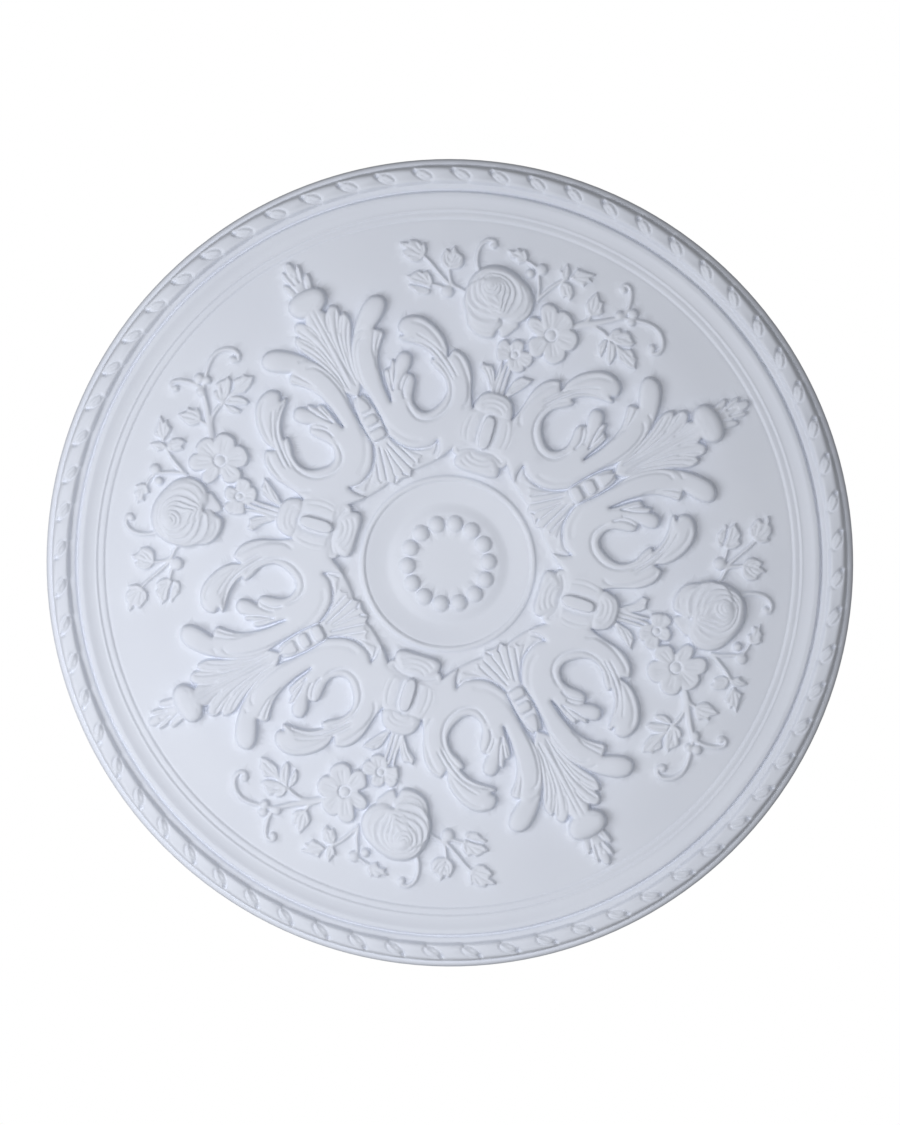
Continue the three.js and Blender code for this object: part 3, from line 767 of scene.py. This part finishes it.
def right_branch(x, y):
    """The branch with berries, tendrils and leaves."""
    part = Relief(x, y)
    part.stroke([(50, 260, 3.0), (58, 266.5, 3.4), (68, 270.5, 3.6), (79, 275.5, 3.4), (90, 281.5, 2.8),
                 (97, 286, 2.3)], STEM_HEIGHT + 0.5)
    part.stroke([(55, 262, 2.6), (64, 266.5, 2.6), (73, 268, 2.5), (82, 265.5, 2.5), (90, 261, 2.3)],
                STEM_HEIGHT)
    part.stroke([(60, 268, 2.4), (63.6, 273, 2.3), (65.5, 279, 2.1)], STEM_HEIGHT)
    part.stroke([(97, 286, 2.7), (98.8, 294, 2.7), (99, 302, 2.7), (97.4, 311, 2.6), (93.6, 316.6, 2.4),
                 (88.8, 316.6, 2.4), (86.8, 312.6, 2.4)], STEM_HEIGHT)
    part.ball((89.4, 311.6), 4.0, STEM_HEIGHT + 0.8)
    part.stroke([(98, 285, 2.4), (108, 286, 2.4), (120, 286.6, 2.6), (131, 284.5, 2.8), (138.6, 278.5, 2.9),
                 (142.6, 269.6, 2.9), (141, 262, 2.8), (135.6, 259.2, 2.6), (131.6, 262, 2.4)], STEM_HEIGHT)
    part.ball((133.2, 264.4), 4.4, STEM_HEIGHT + 0.8)
    for berry in ((93.2, 286, 5.4), (105.6, 291.6, 5.6), (106, 283.4, 4.8)):
        part.ball(berry[:2], berry[2], BERRY_HEIGHT)
    upright = leaf(x, y, (
        [(65.5, 276.5), (60.5, 280), (57.2, 286), (58.6, 293)], [(60.6, 296.4), (64.6, 303)],
        [(68, 298.6), (70.6, 294.6)], [(74.6, 294.6), (74.8, 289), (77.4, 284.4)],
        [(72.6, 279.4), (65.5, 276.5)],
    ), (
        [(66, 278), (65.6, 288), (64.8, 301)], [(65, 281), (60.8, 288), (61.2, 296)],
        [(67, 280), (71, 286), (70.4, 294)], [(68, 279.6), (74, 284), (74, 291)],
    ))
    flat_leaf = leaf(x, y, (
        [(88, 264.5), (90.5, 270.5), (96, 274.2), (99.6, 272)], [(105, 274), (110, 270.6)],
        [(112, 267.5), (116.6, 264.5)], [(112, 259), (100, 257.5), (90, 260)], [(88, 264.5)],
    ), (
        [(90, 263), (101, 265), (114, 264.4)], [(91, 265.6), (97, 269), (103, 272)],
        [(98, 264), (104, 267.4), (109, 268.6)], [(92, 261.4), (104, 262)],
    ))
    first = leaf(x, y, (
        [(88, 261), (83.4, 257), (81.4, 250.6), (83.4, 243)], [(87, 240.4)], [(89.4, 250), (88.6, 261)],
    ), (
        [(87, 258), (85, 250), (86, 243)],
    ))
    second = leaf(x, y, (
        [(89, 261), (89.6, 250), (91.4, 243), (93, 238.6)], [(97, 236), (99.4, 239)],
        [(101, 248), (97.5, 257), (89, 261)],
    ), (
        [(93, 258), (95.6, 248), (97, 238.6)], [(91, 256), (92, 247), (94, 240)],
    ))
    third = leaf(x, y, (
        [(92, 260.6), (104, 256.5), (110.4, 257)], [(113, 258.2), (117, 256)],
        [(119, 252.4), (122.6, 250.6)], [(122.4, 245), (124.6, 239.4)], [(116, 238.8), (105, 243)],
        [(101.4, 249), (97, 256), (92, 260.6)],
    ), (
        [(98, 257), (109, 249), (123, 240.6)], [(101, 253), (106, 247.6), (113, 242)],
        [(101, 257), (110, 253), (118.6, 249.6)], [(104, 256.4), (110, 255), (115, 254.6)],
    ))
    return np.maximum.reduce([part.height, upright, flat_leaf, first, second, third])


def top_sprigs(x, y):
    """The stems, berries, leaves and tendril over the flowers."""
    part = Relief(x, y)
    part.stroke([(-51, 285, 2.6), (-57, 293, 2.6), (-60.4, 303, 2.6), (-59.8, 313.6, 2.7),
                 (-54.6, 320.6, 2.6), (-47.6, 321.4, 2.6), (-45, 318, 2.4)], STEM_HEIGHT)
    part.ball((-47.6, 317), 3.9, STEM_HEIGHT + 0.8)
    part.stroke([(10, 277, 2.5), (8.4, 288, 2.5), (5.4, 297, 2.4), (3, 304, 2.2)], STEM_HEIGHT)
    part.stroke([(0, 308, 2.2), (-5.6, 310.4, 2.0), (-13, 312, 1.8)], STEM_HEIGHT)
    part.stroke([(10, 278, 2.5), (16.5, 288.6, 2.5), (23.6, 298, 2.5), (32, 306.6, 2.3)], STEM_HEIGHT)
    part.ball((-4.4, 300.8), 5.2, BERRY_HEIGHT)
    part.ball((5.6, 307.8), 6.2, BERRY_HEIGHT)
    left = leaf(x, y, (
        [(-10.6, 311.6), (-11.2, 317.6), (-16, 323)], [(-19, 320.6)], [(-23.6, 321.6), (-26, 318)],
        [(-29.6, 317.8), (-33.6, 316)], [(-29.4, 313.4), (-28.6, 309)], [(-22.4, 310), (-18.4, 305.8)],
        [(-14.6, 308), (-10.6, 311.6)],
    ), (
        [(-12, 312), (-20, 314.6), (-31, 315.8)], [(-12.6, 313.6), (-17, 317), (-18.6, 320)],
        [(-14, 311.4), (-20, 311.4), (-26, 310.6)],
    ))
    small = leaf(x, y, (
        [(28.6, 303), (24.6, 308), (22, 313.4)], [(25, 312.6), (26, 316)], [(27, 319), (28.4, 321.8)],
        [(31.6, 317.6), (34.6, 312)], [(33, 305), (28.6, 303)],
    ), (
        [(29, 305), (28.4, 312), (28.6, 319)], [(29.6, 305), (31.6, 309), (32, 314)],
    ))
    wide = leaf(x, y, (
        [(33.6, 308), (37, 313), (38.6, 319.6)], [(48, 318.8), (59.4, 319)], [(56.6, 315), (54, 313.4)],
        [(56.4, 312), (57.4, 310)], [(52.6, 307.6), (50.6, 303)], [(43, 304.4), (33.6, 308)],
    ), (
        [(36, 309), (46, 312.6), (56.6, 318)], [(37, 311), (42, 315), (45, 318.4)],
        [(39, 308.6), (47, 308.6), (54.6, 310.4)], [(40, 307), (45, 305.4), (49, 304.4)],
    ))
    low = leaf(x, y, (
        [(28, 302.4), (27, 296.4), (29, 291.4), (33, 286)], [(36, 288.2)], [(41.2, 285)],
        [(43.4, 292), (40.4, 300.6)], [(34, 303.5), (28, 302.4)],
    ), (
        [(31, 301), (34.6, 294), (40.4, 287)], [(30, 300), (30.8, 293.6), (33.2, 288.4)],
        [(34, 301), (38.4, 296.6), (41, 292)],
    ))
    return np.maximum.reduce([part.height, left, small, wide, low])


def spray(x, y):
    """The whole spray between two scroll groups."""
    layers = (stalk, left_branch, right_branch, top_sprigs, small_flower, large_flower, rose)
    return np.maximum.reduce([layer(x, y) for layer in layers])


# The whole face

def group_frame(radius, angle, axis):
    """Each point's place in the frame of the nearest group, x to the right of its axis and y outwards."""
    period = 360 / REPEATS
    turn = (np.degrees(angle) - axis + period / 2) % period - period / 2
    turn = np.radians(turn)
    return -radius * np.sin(turn), radius * np.cos(turn)


def rim_edges():
    """Radii where the bands of the rim meet, from the outside inwards."""
    band = OUTER_RADIUS - EDGE_BAND_WIDTH
    rope = band - ROPE_WIDTH
    channel = rope - CHANNEL_WIDTH
    shelf = channel - SHELF_WIDTH
    cove = shelf - COVE_WIDTH
    return band, rope, channel, shelf, cove, cove - BEADING_WIDTH


def moulding(radius):
    """The turned mouldings of the rim and the ground inside them, without the rope."""
    band, rope_edge, channel, shelf, cove, field = rim_edges()
    sunk = GROUND_DEPTH - RIM_DISH
    depth = GROUND_DEPTH - RIM_DISH * eased((radius - DISH_START) / (field - DISH_START))
    # Two low steps, then a cove up to the shelf
    for at in (field, field + SECOND_STEP * BEADING_WIDTH):
        depth = depth + BEADING_STEP * eased((radius - at + BEADING_WALL_BEFORE) / BEADING_WALL)
        depth = depth - line_cut(radius - at + BEADING_LINE_BEFORE, BEADING_LINE_DEPTH, BEADING_LINE_WIDTH)
    start = sunk + 2 * BEADING_STEP - COVE_DROP
    share = np.clip((radius - cove) / COVE_WIDTH, 0, 1)
    rise = COVE_STRAIGHT * share + (1 - COVE_STRAIGHT) * share**COVE_BEND
    depth = np.where(radius > cove, start + (SHELF_DEPTH - start) * rise, depth)
    depth = np.where(radius > shelf, SHELF_DEPTH, depth)
    # The channel, with a sharp line at the foot of its wall
    fall = eased((radius - channel + CHANNEL_WALL / 2) / CHANNEL_WALL)
    floor = SHELF_DEPTH + (CHANNEL_DEPTH - SHELF_DEPTH) * fall
    floor = floor - line_cut(radius - channel - CHANNEL_WALL, CHANNEL_LINE_DEPTH, CHANNEL_LINE_WIDTH)
    across = (radius - channel - CHANNEL_WALL) / (rope_edge - channel - 2 * CHANNEL_WALL)
    floor = floor + CHANNEL_RISE * eased(across)
    depth = np.where(radius > channel - CHANNEL_WALL / 2, floor, depth)
    # The edge band outside the rope, rounded over at its outer edge
    share = np.clip((radius - band) / EDGE_BAND_WIDTH, 0, 1)
    turned = np.clip(share * EDGE_TURN - (EDGE_TURN - 1), 0, 1)
    edge = EDGE_DEPTH - EDGE_ROUNDING * (1 - np.sqrt(1 - turned**2))
    edge = edge - line_cut(radius - band, EDGE_LINE_DEPTH, EDGE_LINE_WIDTH)
    return np.where(radius > band, edge, depth)


def rope(radius, angle):
    """The twisted rope: broad wraps, each with a leaning step, a pit at its outer end and an oval knot."""
    band, inner = rim_edges()[:2]
    across = np.clip(2 * (radius - inner) / ROPE_WIDTH - 1, -1, 1)
    pitch = 360 / ROPE_TURNS
    lean = ROPE_LEAN * (0.5 + 0.5 * np.sin(across * math.pi / 2))
    phase = ((np.degrees(angle) - ROPE_FIRST_LINE + ROPE_LEAN - lean) / pitch) % 1
    # A wrap runs from one line at phase 0 to the next at phase 1, and grows on the way
    grown = phase - eased((phase - (1 - ROPE_STEP_SHARE)) / ROPE_STEP_SHARE)
    waist = 1 - ROPE_WAIST + ROPE_WAIST * eased(grown * ROPE_GROWTH)
    torus = np.clip(1 - np.abs(across / waist) ** ROPE_FLATNESS, 0, 1) ** 0.5
    base = min(CHANNEL_DEPTH, EDGE_DEPTH) - ROPE_FOOT
    depth = base + (ROPE_DEPTH - ROPE_STEP - base + ROPE_STEP * grown) * torus
    beside = np.minimum(phase, 1 - phase) * math.radians(pitch) * radius
    depth = depth - line_cut(beside, ROPE_LINE_DEPTH, ROPE_LINE_WIDTH) * torus
    # The pit at the end of the line, and the line round the oval knot beyond it
    past_pit = ((ROPE_FIRST_LINE - np.degrees(angle) + 1) % pitch - 1) * math.radians(1) * radius
    pit = line_cut(past_pit, PIT_DEPTH, PIT_LENGTH) * line_cut(radius - PIT_RADIUS, 1, PIT_WIDTH)
    ahead, aside = past_pit - KNOT_AHEAD, radius - KNOT_RADIUS
    along = ahead * math.cos(KNOT_LEAN) - aside * math.sin(KNOT_LEAN)
    over = ahead * math.sin(KNOT_LEAN) + aside * math.cos(KNOT_LEAN)
    from_line = (np.hypot(along / KNOT_LENGTH, over / KNOT_WIDTH) - 1) * KNOT_WIDTH
    knot_line = line_cut(from_line, KNOT_LINE_DEPTH, KNOT_LINE_WIDTH)
    inside = (radius > inner) & (radius < band)
    return np.where(inside, depth - (pit + knot_line) * np.minimum(torus * 1.5, 1), 0)


def boss(x, y, radius):
    """The round boss: beads round a flat disc, then a dished ring, a fillet and a low step."""
    lowest = BOSS_FACE_RADIUS + BOSS_LOWEST * (BOSS_RADIUS - BOSS_FACE_RADIUS)
    fillet = BOSS_RADIUS - BOSS_FILLET_WIDTH
    fall = eased((radius - BOSS_FACE_RADIUS) / (lowest - BOSS_FACE_RADIUS))
    climb = np.clip((radius - lowest) / (fillet - lowest), 0, 1) ** BOSS_BEND
    depth = GROUND_DEPTH - BOSS_HOLLOW * fall + (BOSS_HOLLOW + BOSS_LIP) * climb
    depth = depth - line_cut(radius - fillet, BOSS_LINE_DEPTH, BOSS_LINE_WIDTH)
    depth = depth + BOSS_RING_STEP * eased((radius - fillet) / BOSS_RING_WALL)
    for i in range(BEAD_COUNT):
        angle = math.radians(BEAD_FIRST + 360 * i / BEAD_COUNT)
        middle_x, middle_y = BEAD_RING_RADIUS * math.cos(angle), BEAD_RING_RADIUS * math.sin(angle)
        away = np.hypot(x - middle_x, y - middle_y)
        ball = GROUND_DEPTH - BEAD_SINK + BEAD_RISE * np.sqrt(np.clip(1 - (away / BEAD_RADIUS) ** 2, 0, 1))
        depth = np.where(away < BEAD_RADIUS, np.maximum(depth, ball), depth)
    return depth


def softened(depth):
    """The casting's softness: sharp corners of the relief run out over a cell or two."""
    depth = 0.25 * np.roll(depth, 1, axis=1) + 0.5 * depth + 0.25 * np.roll(depth, -1, axis=1)
    middle = 0.25 * depth[:-2] + 0.5 * depth[1:-1] + 0.25 * depth[2:]
    return np.vstack([depth[:1], middle, depth[-1:]])


def face_depth(radii, angles):
    """Depth below the ceiling of every point of the face, ring by ring."""
    per_repeat = len(angles) // REPEATS
    radius, angle = np.meshgrid(radii, angles[:per_repeat], indexing="ij")
    scroll_x, scroll_y = group_frame(radius, angle, SCROLL_ANGLE)
    spray_x, spray_y = group_frame(radius, angle, BUCKLE_ANGLE)
    layers = scroll_group(scroll_x, scroll_y), buckle(spray_x, spray_y), spray(spray_x, spray_y)
    depth = moulding(radius) + np.maximum.reduce(layers)
    depth = np.tile(np.maximum(depth, rope(radius, angle)), (1, REPEATS))
    # The boss doesn't repeat with the groups, so it is drawn all the way round
    reach = BOSS_RADIUS + BOSS_EDGE_WIDTH
    count = int(np.searchsorted(radii, reach))
    radius, angle = np.meshgrid(radii[:count], angles, indexing="ij")
    middle = boss(radius * np.cos(angle), radius * np.sin(angle), radius)
    edge = GROUND_DEPTH + (BOSS_LIP + BOSS_RING_STEP) * bulged((reach - radius) / BOSS_EDGE_WIDTH)
    depth[:count] = np.where(radius < BOSS_RADIUS, middle, np.maximum(depth[:count], edge))
    return np.minimum(softened(depth), FULL_DEPTH)


def face_normals(radii, angles, depth):
    """The way the face looks at every point, from the slope of its depth along the ring and across it."""
    step = 2 * (angles[1] - angles[0]) * radii[:, None]
    along = (np.roll(depth, -1, axis=1) - np.roll(depth, 1, axis=1)) / step
    across = np.gradient(depth, radii, axis=0)
    x = -(across * np.cos(angles) - along * np.sin(angles))
    y = across * np.sin(angles) + along * np.cos(angles)
    normals = np.stack([x, y, -np.ones_like(depth)], axis=-1)
    return normals / np.linalg.norm(normals, axis=-1, keepdims=True)


def shade_face(mesh, radii, angles, depth):
    """Gives each vertex of the face the normal of the drawn surface, and leaves side and back alone."""
    normals = face_normals(radii, angles, depth)
    points = np.empty(3 * len(mesh.vertices))
    mesh.vertices.foreach_get("co", points)
    points = points.reshape(-1, 3) / MM
    radius = np.hypot(points[:, 0], points[:, 1])
    turn = (np.arctan2(-points[:, 1], points[:, 0]) / (2 * math.pi)) % 1
    ring = np.clip(np.interp(radius, radii, np.arange(len(radii))), 0, len(radii) - 1.001)
    column = turn * len(angles)
    low, left = ring.astype(int), column.astype(int) % len(angles)
    right = (left + 1) % len(angles)
    up, on = (ring - low)[:, None], (column - column.astype(int))[:, None]
    blend = ((1 - up) * ((1 - on) * normals[low, left] + on * normals[low, right])
             + up * ((1 - on) * normals[low + 1, left] + on * normals[low + 1, right]))
    on_face = (-points[:, 2] > BACK_CHAMFER + 0.5) & (radius < OUTER_RADIUS - 0.3)
    blend[~on_face] = 0
    mesh.normals_split_custom_set_from_vertices(blend.tolist())


def casting_mesh(radii, angles, depth):
    """The whole casting as one closed mesh: face, side, chamfer and back."""
    side = [(OUTER_RADIUS, SIDE_DEPTH), (OUTER_RADIUS, BACK_CHAMFER), (OUTER_RADIUS - BACK_CHAMFER, 0.0)]
    back = [(r, 0.0) for r in np.linspace(OUTER_RADIUS - BACK_CHAMFER, 0, BACK_RINGS + 2)[1:-1]]
    for ring_radius, ring_depth in side + back:
        radii = np.append(radii, ring_radius)
        depth = np.vstack([depth, np.full((1, COLUMNS), ring_depth)])
    x = radii[:, None] * np.cos(angles) * MM
    y = -radii[:, None] * np.sin(angles) * MM
    points = np.column_stack([x.ravel(), y.ravel(), -depth.ravel() * MM])
    rings = len(radii)
    points = np.vstack([points, [0, 0, -GROUND_DEPTH * MM], [0, 0, 0]])
    row, column = np.meshgrid(np.arange(rings - 1), np.arange(COLUMNS), indexing="ij")
    following = (column + 1) % COLUMNS
    a = row * COLUMNS + column
    b = row * COLUMNS + following
    quads = np.stack([a, a + COLUMNS, b + COLUMNS, b], axis=-1).reshape(-1, 4)
    around = np.arange(COLUMNS)
    after = (around + 1) % COLUMNS
    front_fan = np.column_stack([np.full(COLUMNS, rings * COLUMNS), around, after])
    last = (rings - 1) * COLUMNS
    back_fan = np.column_stack([np.full(COLUMNS, rings * COLUMNS + 1), last + after, last + around])
    corners = np.concatenate([quads.ravel(), front_fan.ravel(), back_fan.ravel()])
    sizes = np.concatenate([np.full(len(quads), 4), np.full(2 * COLUMNS, 3)])
    return closed_mesh(points, corners, sizes)


def closed_mesh(points, corners, sizes):
    """A mesh from its points, the corners of its faces in a row and each face's number of corners."""
    mesh = bpy.data.meshes.new("casting")
    mesh.vertices.add(len(points))
    mesh.vertices.foreach_set("co", points.astype(np.float32).ravel())
    mesh.loops.add(len(corners))
    mesh.loops.foreach_set("vertex_index", corners.astype(np.int32))
    mesh.polygons.add(len(sizes))
    starts = np.concatenate([[0], np.cumsum(sizes)[:-1]])
    mesh.polygons.foreach_set("loop_start", starts.astype(np.int32))
    mesh.update(calc_edges=True)
    mesh.validate()
    return mesh


def thinned(piece, face_limit):
    """Takes triangles away where the surface is flat, until the piece is under the limit."""
    triangles = sum(len(polygon.vertices) - 2 for polygon in piece.data.polygons)
    modifier = piece.modifiers.new("thin", "DECIMATE")
    modifier.ratio = min(1.0, face_limit / triangles)
    graph = bpy.context.evaluated_depsgraph_get()
    mesh = bpy.data.meshes.new_from_object(piece.evaluated_get(graph))
    piece.modifiers.clear()
    full = piece.data
    piece.data = mesh
    bpy.data.meshes.remove(full)


def divided(mesh, longest):
    """Halves the long edges of the field, so that wide triangles are shaded like the drawn surface."""
    field = rim_edges()[-1] * MM
    work = bmesh.new()
    work.from_mesh(mesh)
    for _ in range(DIVISIONS):
        wide = [edge for edge in work.edges if edge.calc_length() > longest
                and all(end.co.z < -SIDE_DEPTH * MM and end.co.xy.length < field for end in edge.verts)]
        bmesh.ops.subdivide_edges(work, edges=wide, cuts=1)
        bmesh.ops.triangulate(work, faces=[face for face in work.faces if len(face.verts) > 3])
    work.to_mesh(mesh)
    work.free()


# Materials

DARKER_WHITE = (0.752, 0.785, 0.865, 1)
LIGHTER_WHITE = (0.787, 0.82, 0.895, 1)
CLOUD_SCALE = 9.0
GRAIN_SCALE = 900.0
ROUGHNESS = (0.48, 0.64)
SHINE = 0.35
GRAIN_STRENGTH = 0.12
GRAIN_DISTANCE = 0.0002


def new_material(name):
    """A material with nodes, and its shader."""
    material = bpy.data.materials.new(name)
    material.use_nodes = True
    return material, material.node_tree.nodes["Principled BSDF"]


def new_node(nodes, kind, values):
    """A node with some of its inputs set."""
    node = nodes.new(kind)
    for name, value in values.items():
        node.inputs[name].default_value = value
    return node


def plaster_white():
    """The matte white finish of the casting, a little uneven in colour, gloss and surface."""
    material, shader = new_material("matte_white_casting")
    shader.inputs["Specular IOR Level"].default_value = SHINE
    nodes, links = material.node_tree.nodes, material.node_tree.links
    place = nodes.new("ShaderNodeTexCoord")
    cloud = new_node(nodes, "ShaderNodeTexNoise", {"Scale": CLOUD_SCALE, "Detail": 4.0})
    grain = new_node(nodes, "ShaderNodeTexNoise", {"Scale": GRAIN_SCALE, "Detail": 3.0})
    tint = nodes.new("ShaderNodeValToRGB")
    for stop, position, colour in zip(tint.color_ramp.elements, (0.3, 0.7), (DARKER_WHITE, LIGHTER_WHITE)):
        stop.position = position
        stop.color = colour
    gloss = new_node(nodes, "ShaderNodeMapRange", {"To Min": ROUGHNESS[0], "To Max": ROUGHNESS[1]})
    bump = new_node(nodes, "ShaderNodeBump", {"Strength": GRAIN_STRENGTH, "Distance": GRAIN_DISTANCE})
    for pattern in (cloud, grain):
        links.new(place.outputs["Object"], pattern.inputs["Vector"])
    links.new(cloud.outputs["Fac"], tint.inputs["Fac"])
    links.new(tint.outputs["Color"], shader.inputs["Base Color"])
    links.new(cloud.outputs["Fac"], gloss.inputs["Value"])
    links.new(gloss.outputs["Result"], shader.inputs["Roughness"])
    links.new(grain.outputs["Fac"], bump.inputs["Height"])
    links.new(bump.outputs["Normal"], shader.inputs["Normal"])
    return material


def floor_grey():
    """The pale grey of the floor."""
    material, shader = new_material("pale_floor")
    shader.inputs["Base Color"].default_value = (0.8, 0.8, 0.8, 1)
    shader.inputs["Roughness"].default_value = 0.9
    return material


# The room: floor, light and camera

CAMERA_DISTANCE = 5.0
CAMERA_RIGHT = math.radians(3.0)
CAMERA_LOW = math.radians(-1.5)
CAMERA_ROLL = math.radians(0.1)
VIEW_HEIGHT = 1.1262  # metres that the picture's height covers at the casting
VIEW_CENTRE_X = 0.0022
VIEW_CENTRE_Y = -0.0013
SENSOR = 36.0
FLOOR_HEIGHT = -5.6
FLOOR_HALF = 4.0
DAYLIGHT = (0.96, 0.97, 1.0)
FILL_STRENGTH = 0.24  # what the white surroundings add to the light


def make_floor():
    """The floor far below the ceiling."""
    signs = ((-1, -1), (1, -1), (1, 1), (-1, 1))
    corners = [(x * FLOOR_HALF, y * FLOOR_HALF, FLOOR_HEIGHT) for x, y in signs]
    mesh = bpy.data.meshes.new("floor")
    mesh.from_pydata(corners, [], [(0, 1, 2, 3)])
    floor = bpy.data.objects.new("floor", mesh)
    floor.data.materials.append(floor_grey())
    bpy.context.scene.collection.objects.link(floor)


def aim(thing, target, up):
    """Turns a camera or lamp so that it looks at the target with `up` at the top of its view."""
    ahead = (Vector(target) - thing.location).normalized()
    right = ahead.cross(Vector(up)).normalized()
    above = right.cross(ahead)
    thing.rotation_mode = "QUATERNION"
    thing.rotation_quaternion = Matrix((right, above, -ahead)).transposed().to_quaternion()


def make_camera():
    """The camera below the rose, a little to its right."""
    data = bpy.data.cameras.new("camera")
    data.sensor_fit = "VERTICAL"
    data.sensor_height = SENSOR
    data.lens = SENSOR * CAMERA_DISTANCE / VIEW_HEIGHT
    camera = bpy.data.objects.new("camera", data)
    right = VIEW_CENTRE_X + CAMERA_DISTANCE * math.tan(CAMERA_RIGHT)
    low = VIEW_CENTRE_Y + CAMERA_DISTANCE * math.tan(CAMERA_LOW)
    camera.location = (right, low, -CAMERA_DISTANCE)
    up = (-math.sin(CAMERA_ROLL), -math.cos(CAMERA_ROLL), 0)
    aim(camera, (VIEW_CENTRE_X, VIEW_CENTRE_Y, -GROUND_DEPTH * MM), up)
    bpy.context.scene.collection.objects.link(camera)
    bpy.context.scene.camera = camera


def make_lamp(name, place, target, size, power, spread):
    """A round lamp that looks at a target; its spread is in degrees."""
    data = bpy.data.lights.new(name, "AREA")
    data.shape = "DISK"
    data.size = size
    data.energy = power
    data.spread = math.radians(spread)
    data.color = DAYLIGHT
    lamp = bpy.data.objects.new(name, data)
    lamp.location = place
    aim(lamp, target, (0, -1, 0))
    bpy.context.scene.collection.objects.link(lamp)


def make_light():
    """White surroundings, a window lamp from the left and a weaker lamp from the front."""
    world = bpy.data.worlds.new("studio")
    bpy.context.scene.world = world
    world.use_nodes = True
    nodes, links = world.node_tree.nodes, world.node_tree.links
    background = nodes["Background"]
    background.inputs["Color"].default_value = (1, 1, 1, 1)
    path = nodes.new("ShaderNodeLightPath")
    strength = new_node(nodes, "ShaderNodeMapRange", {"To Min": FILL_STRENGTH, "To Max": 1.0})
    links.new(path.outputs["Is Camera Ray"], strength.inputs["Value"])
    links.new(strength.outputs["Result"], background.inputs["Strength"])
    make_lamp("window", (-1.6, 0.6, -1.8), (0, 0, 0), size=1.6, power=25.0, spread=180)
    make_lamp("front", (-0.5, 0.3, -2.7), (-0.2, 0.12, 0), size=1.0, power=3.6, spread=66)
    bpy.context.scene.view_settings.view_transform = "Standard"


def main():
    """Builds the casting in place of the solid, then the room round it."""
    radii = np.append(np.arange(RING_STEP, OUTER_RADIUS - 0.3 * RING_STEP, RING_STEP), OUTER_RADIUS)
    angles = np.arange(COLUMNS) * 2 * math.pi / COLUMNS
    depth = face_depth(radii, angles)
    piece = bpy.data.objects.new("ceiling_rose_casting", casting_mesh(radii, angles, depth))
    bpy.context.scene.collection.objects.link(piece)
    thinned(piece, FACE_LIMIT)
    divided(piece.data, LONGEST_EDGE * MM)
    mesh = piece.data
    mesh.shade_smooth()
    mesh.set_sharp_from_angle(angle=SHARP_ANGLE)
    shade_face(mesh, radii, angles, depth)
    mesh.materials.append(plaster_white())
    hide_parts(NODE)
    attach(piece, BODY)
    make_floor()
    make_light()
    make_camera()
    print("casting triangles", sum(len(p.vertices) - 2 for p in mesh.polygons))


main()
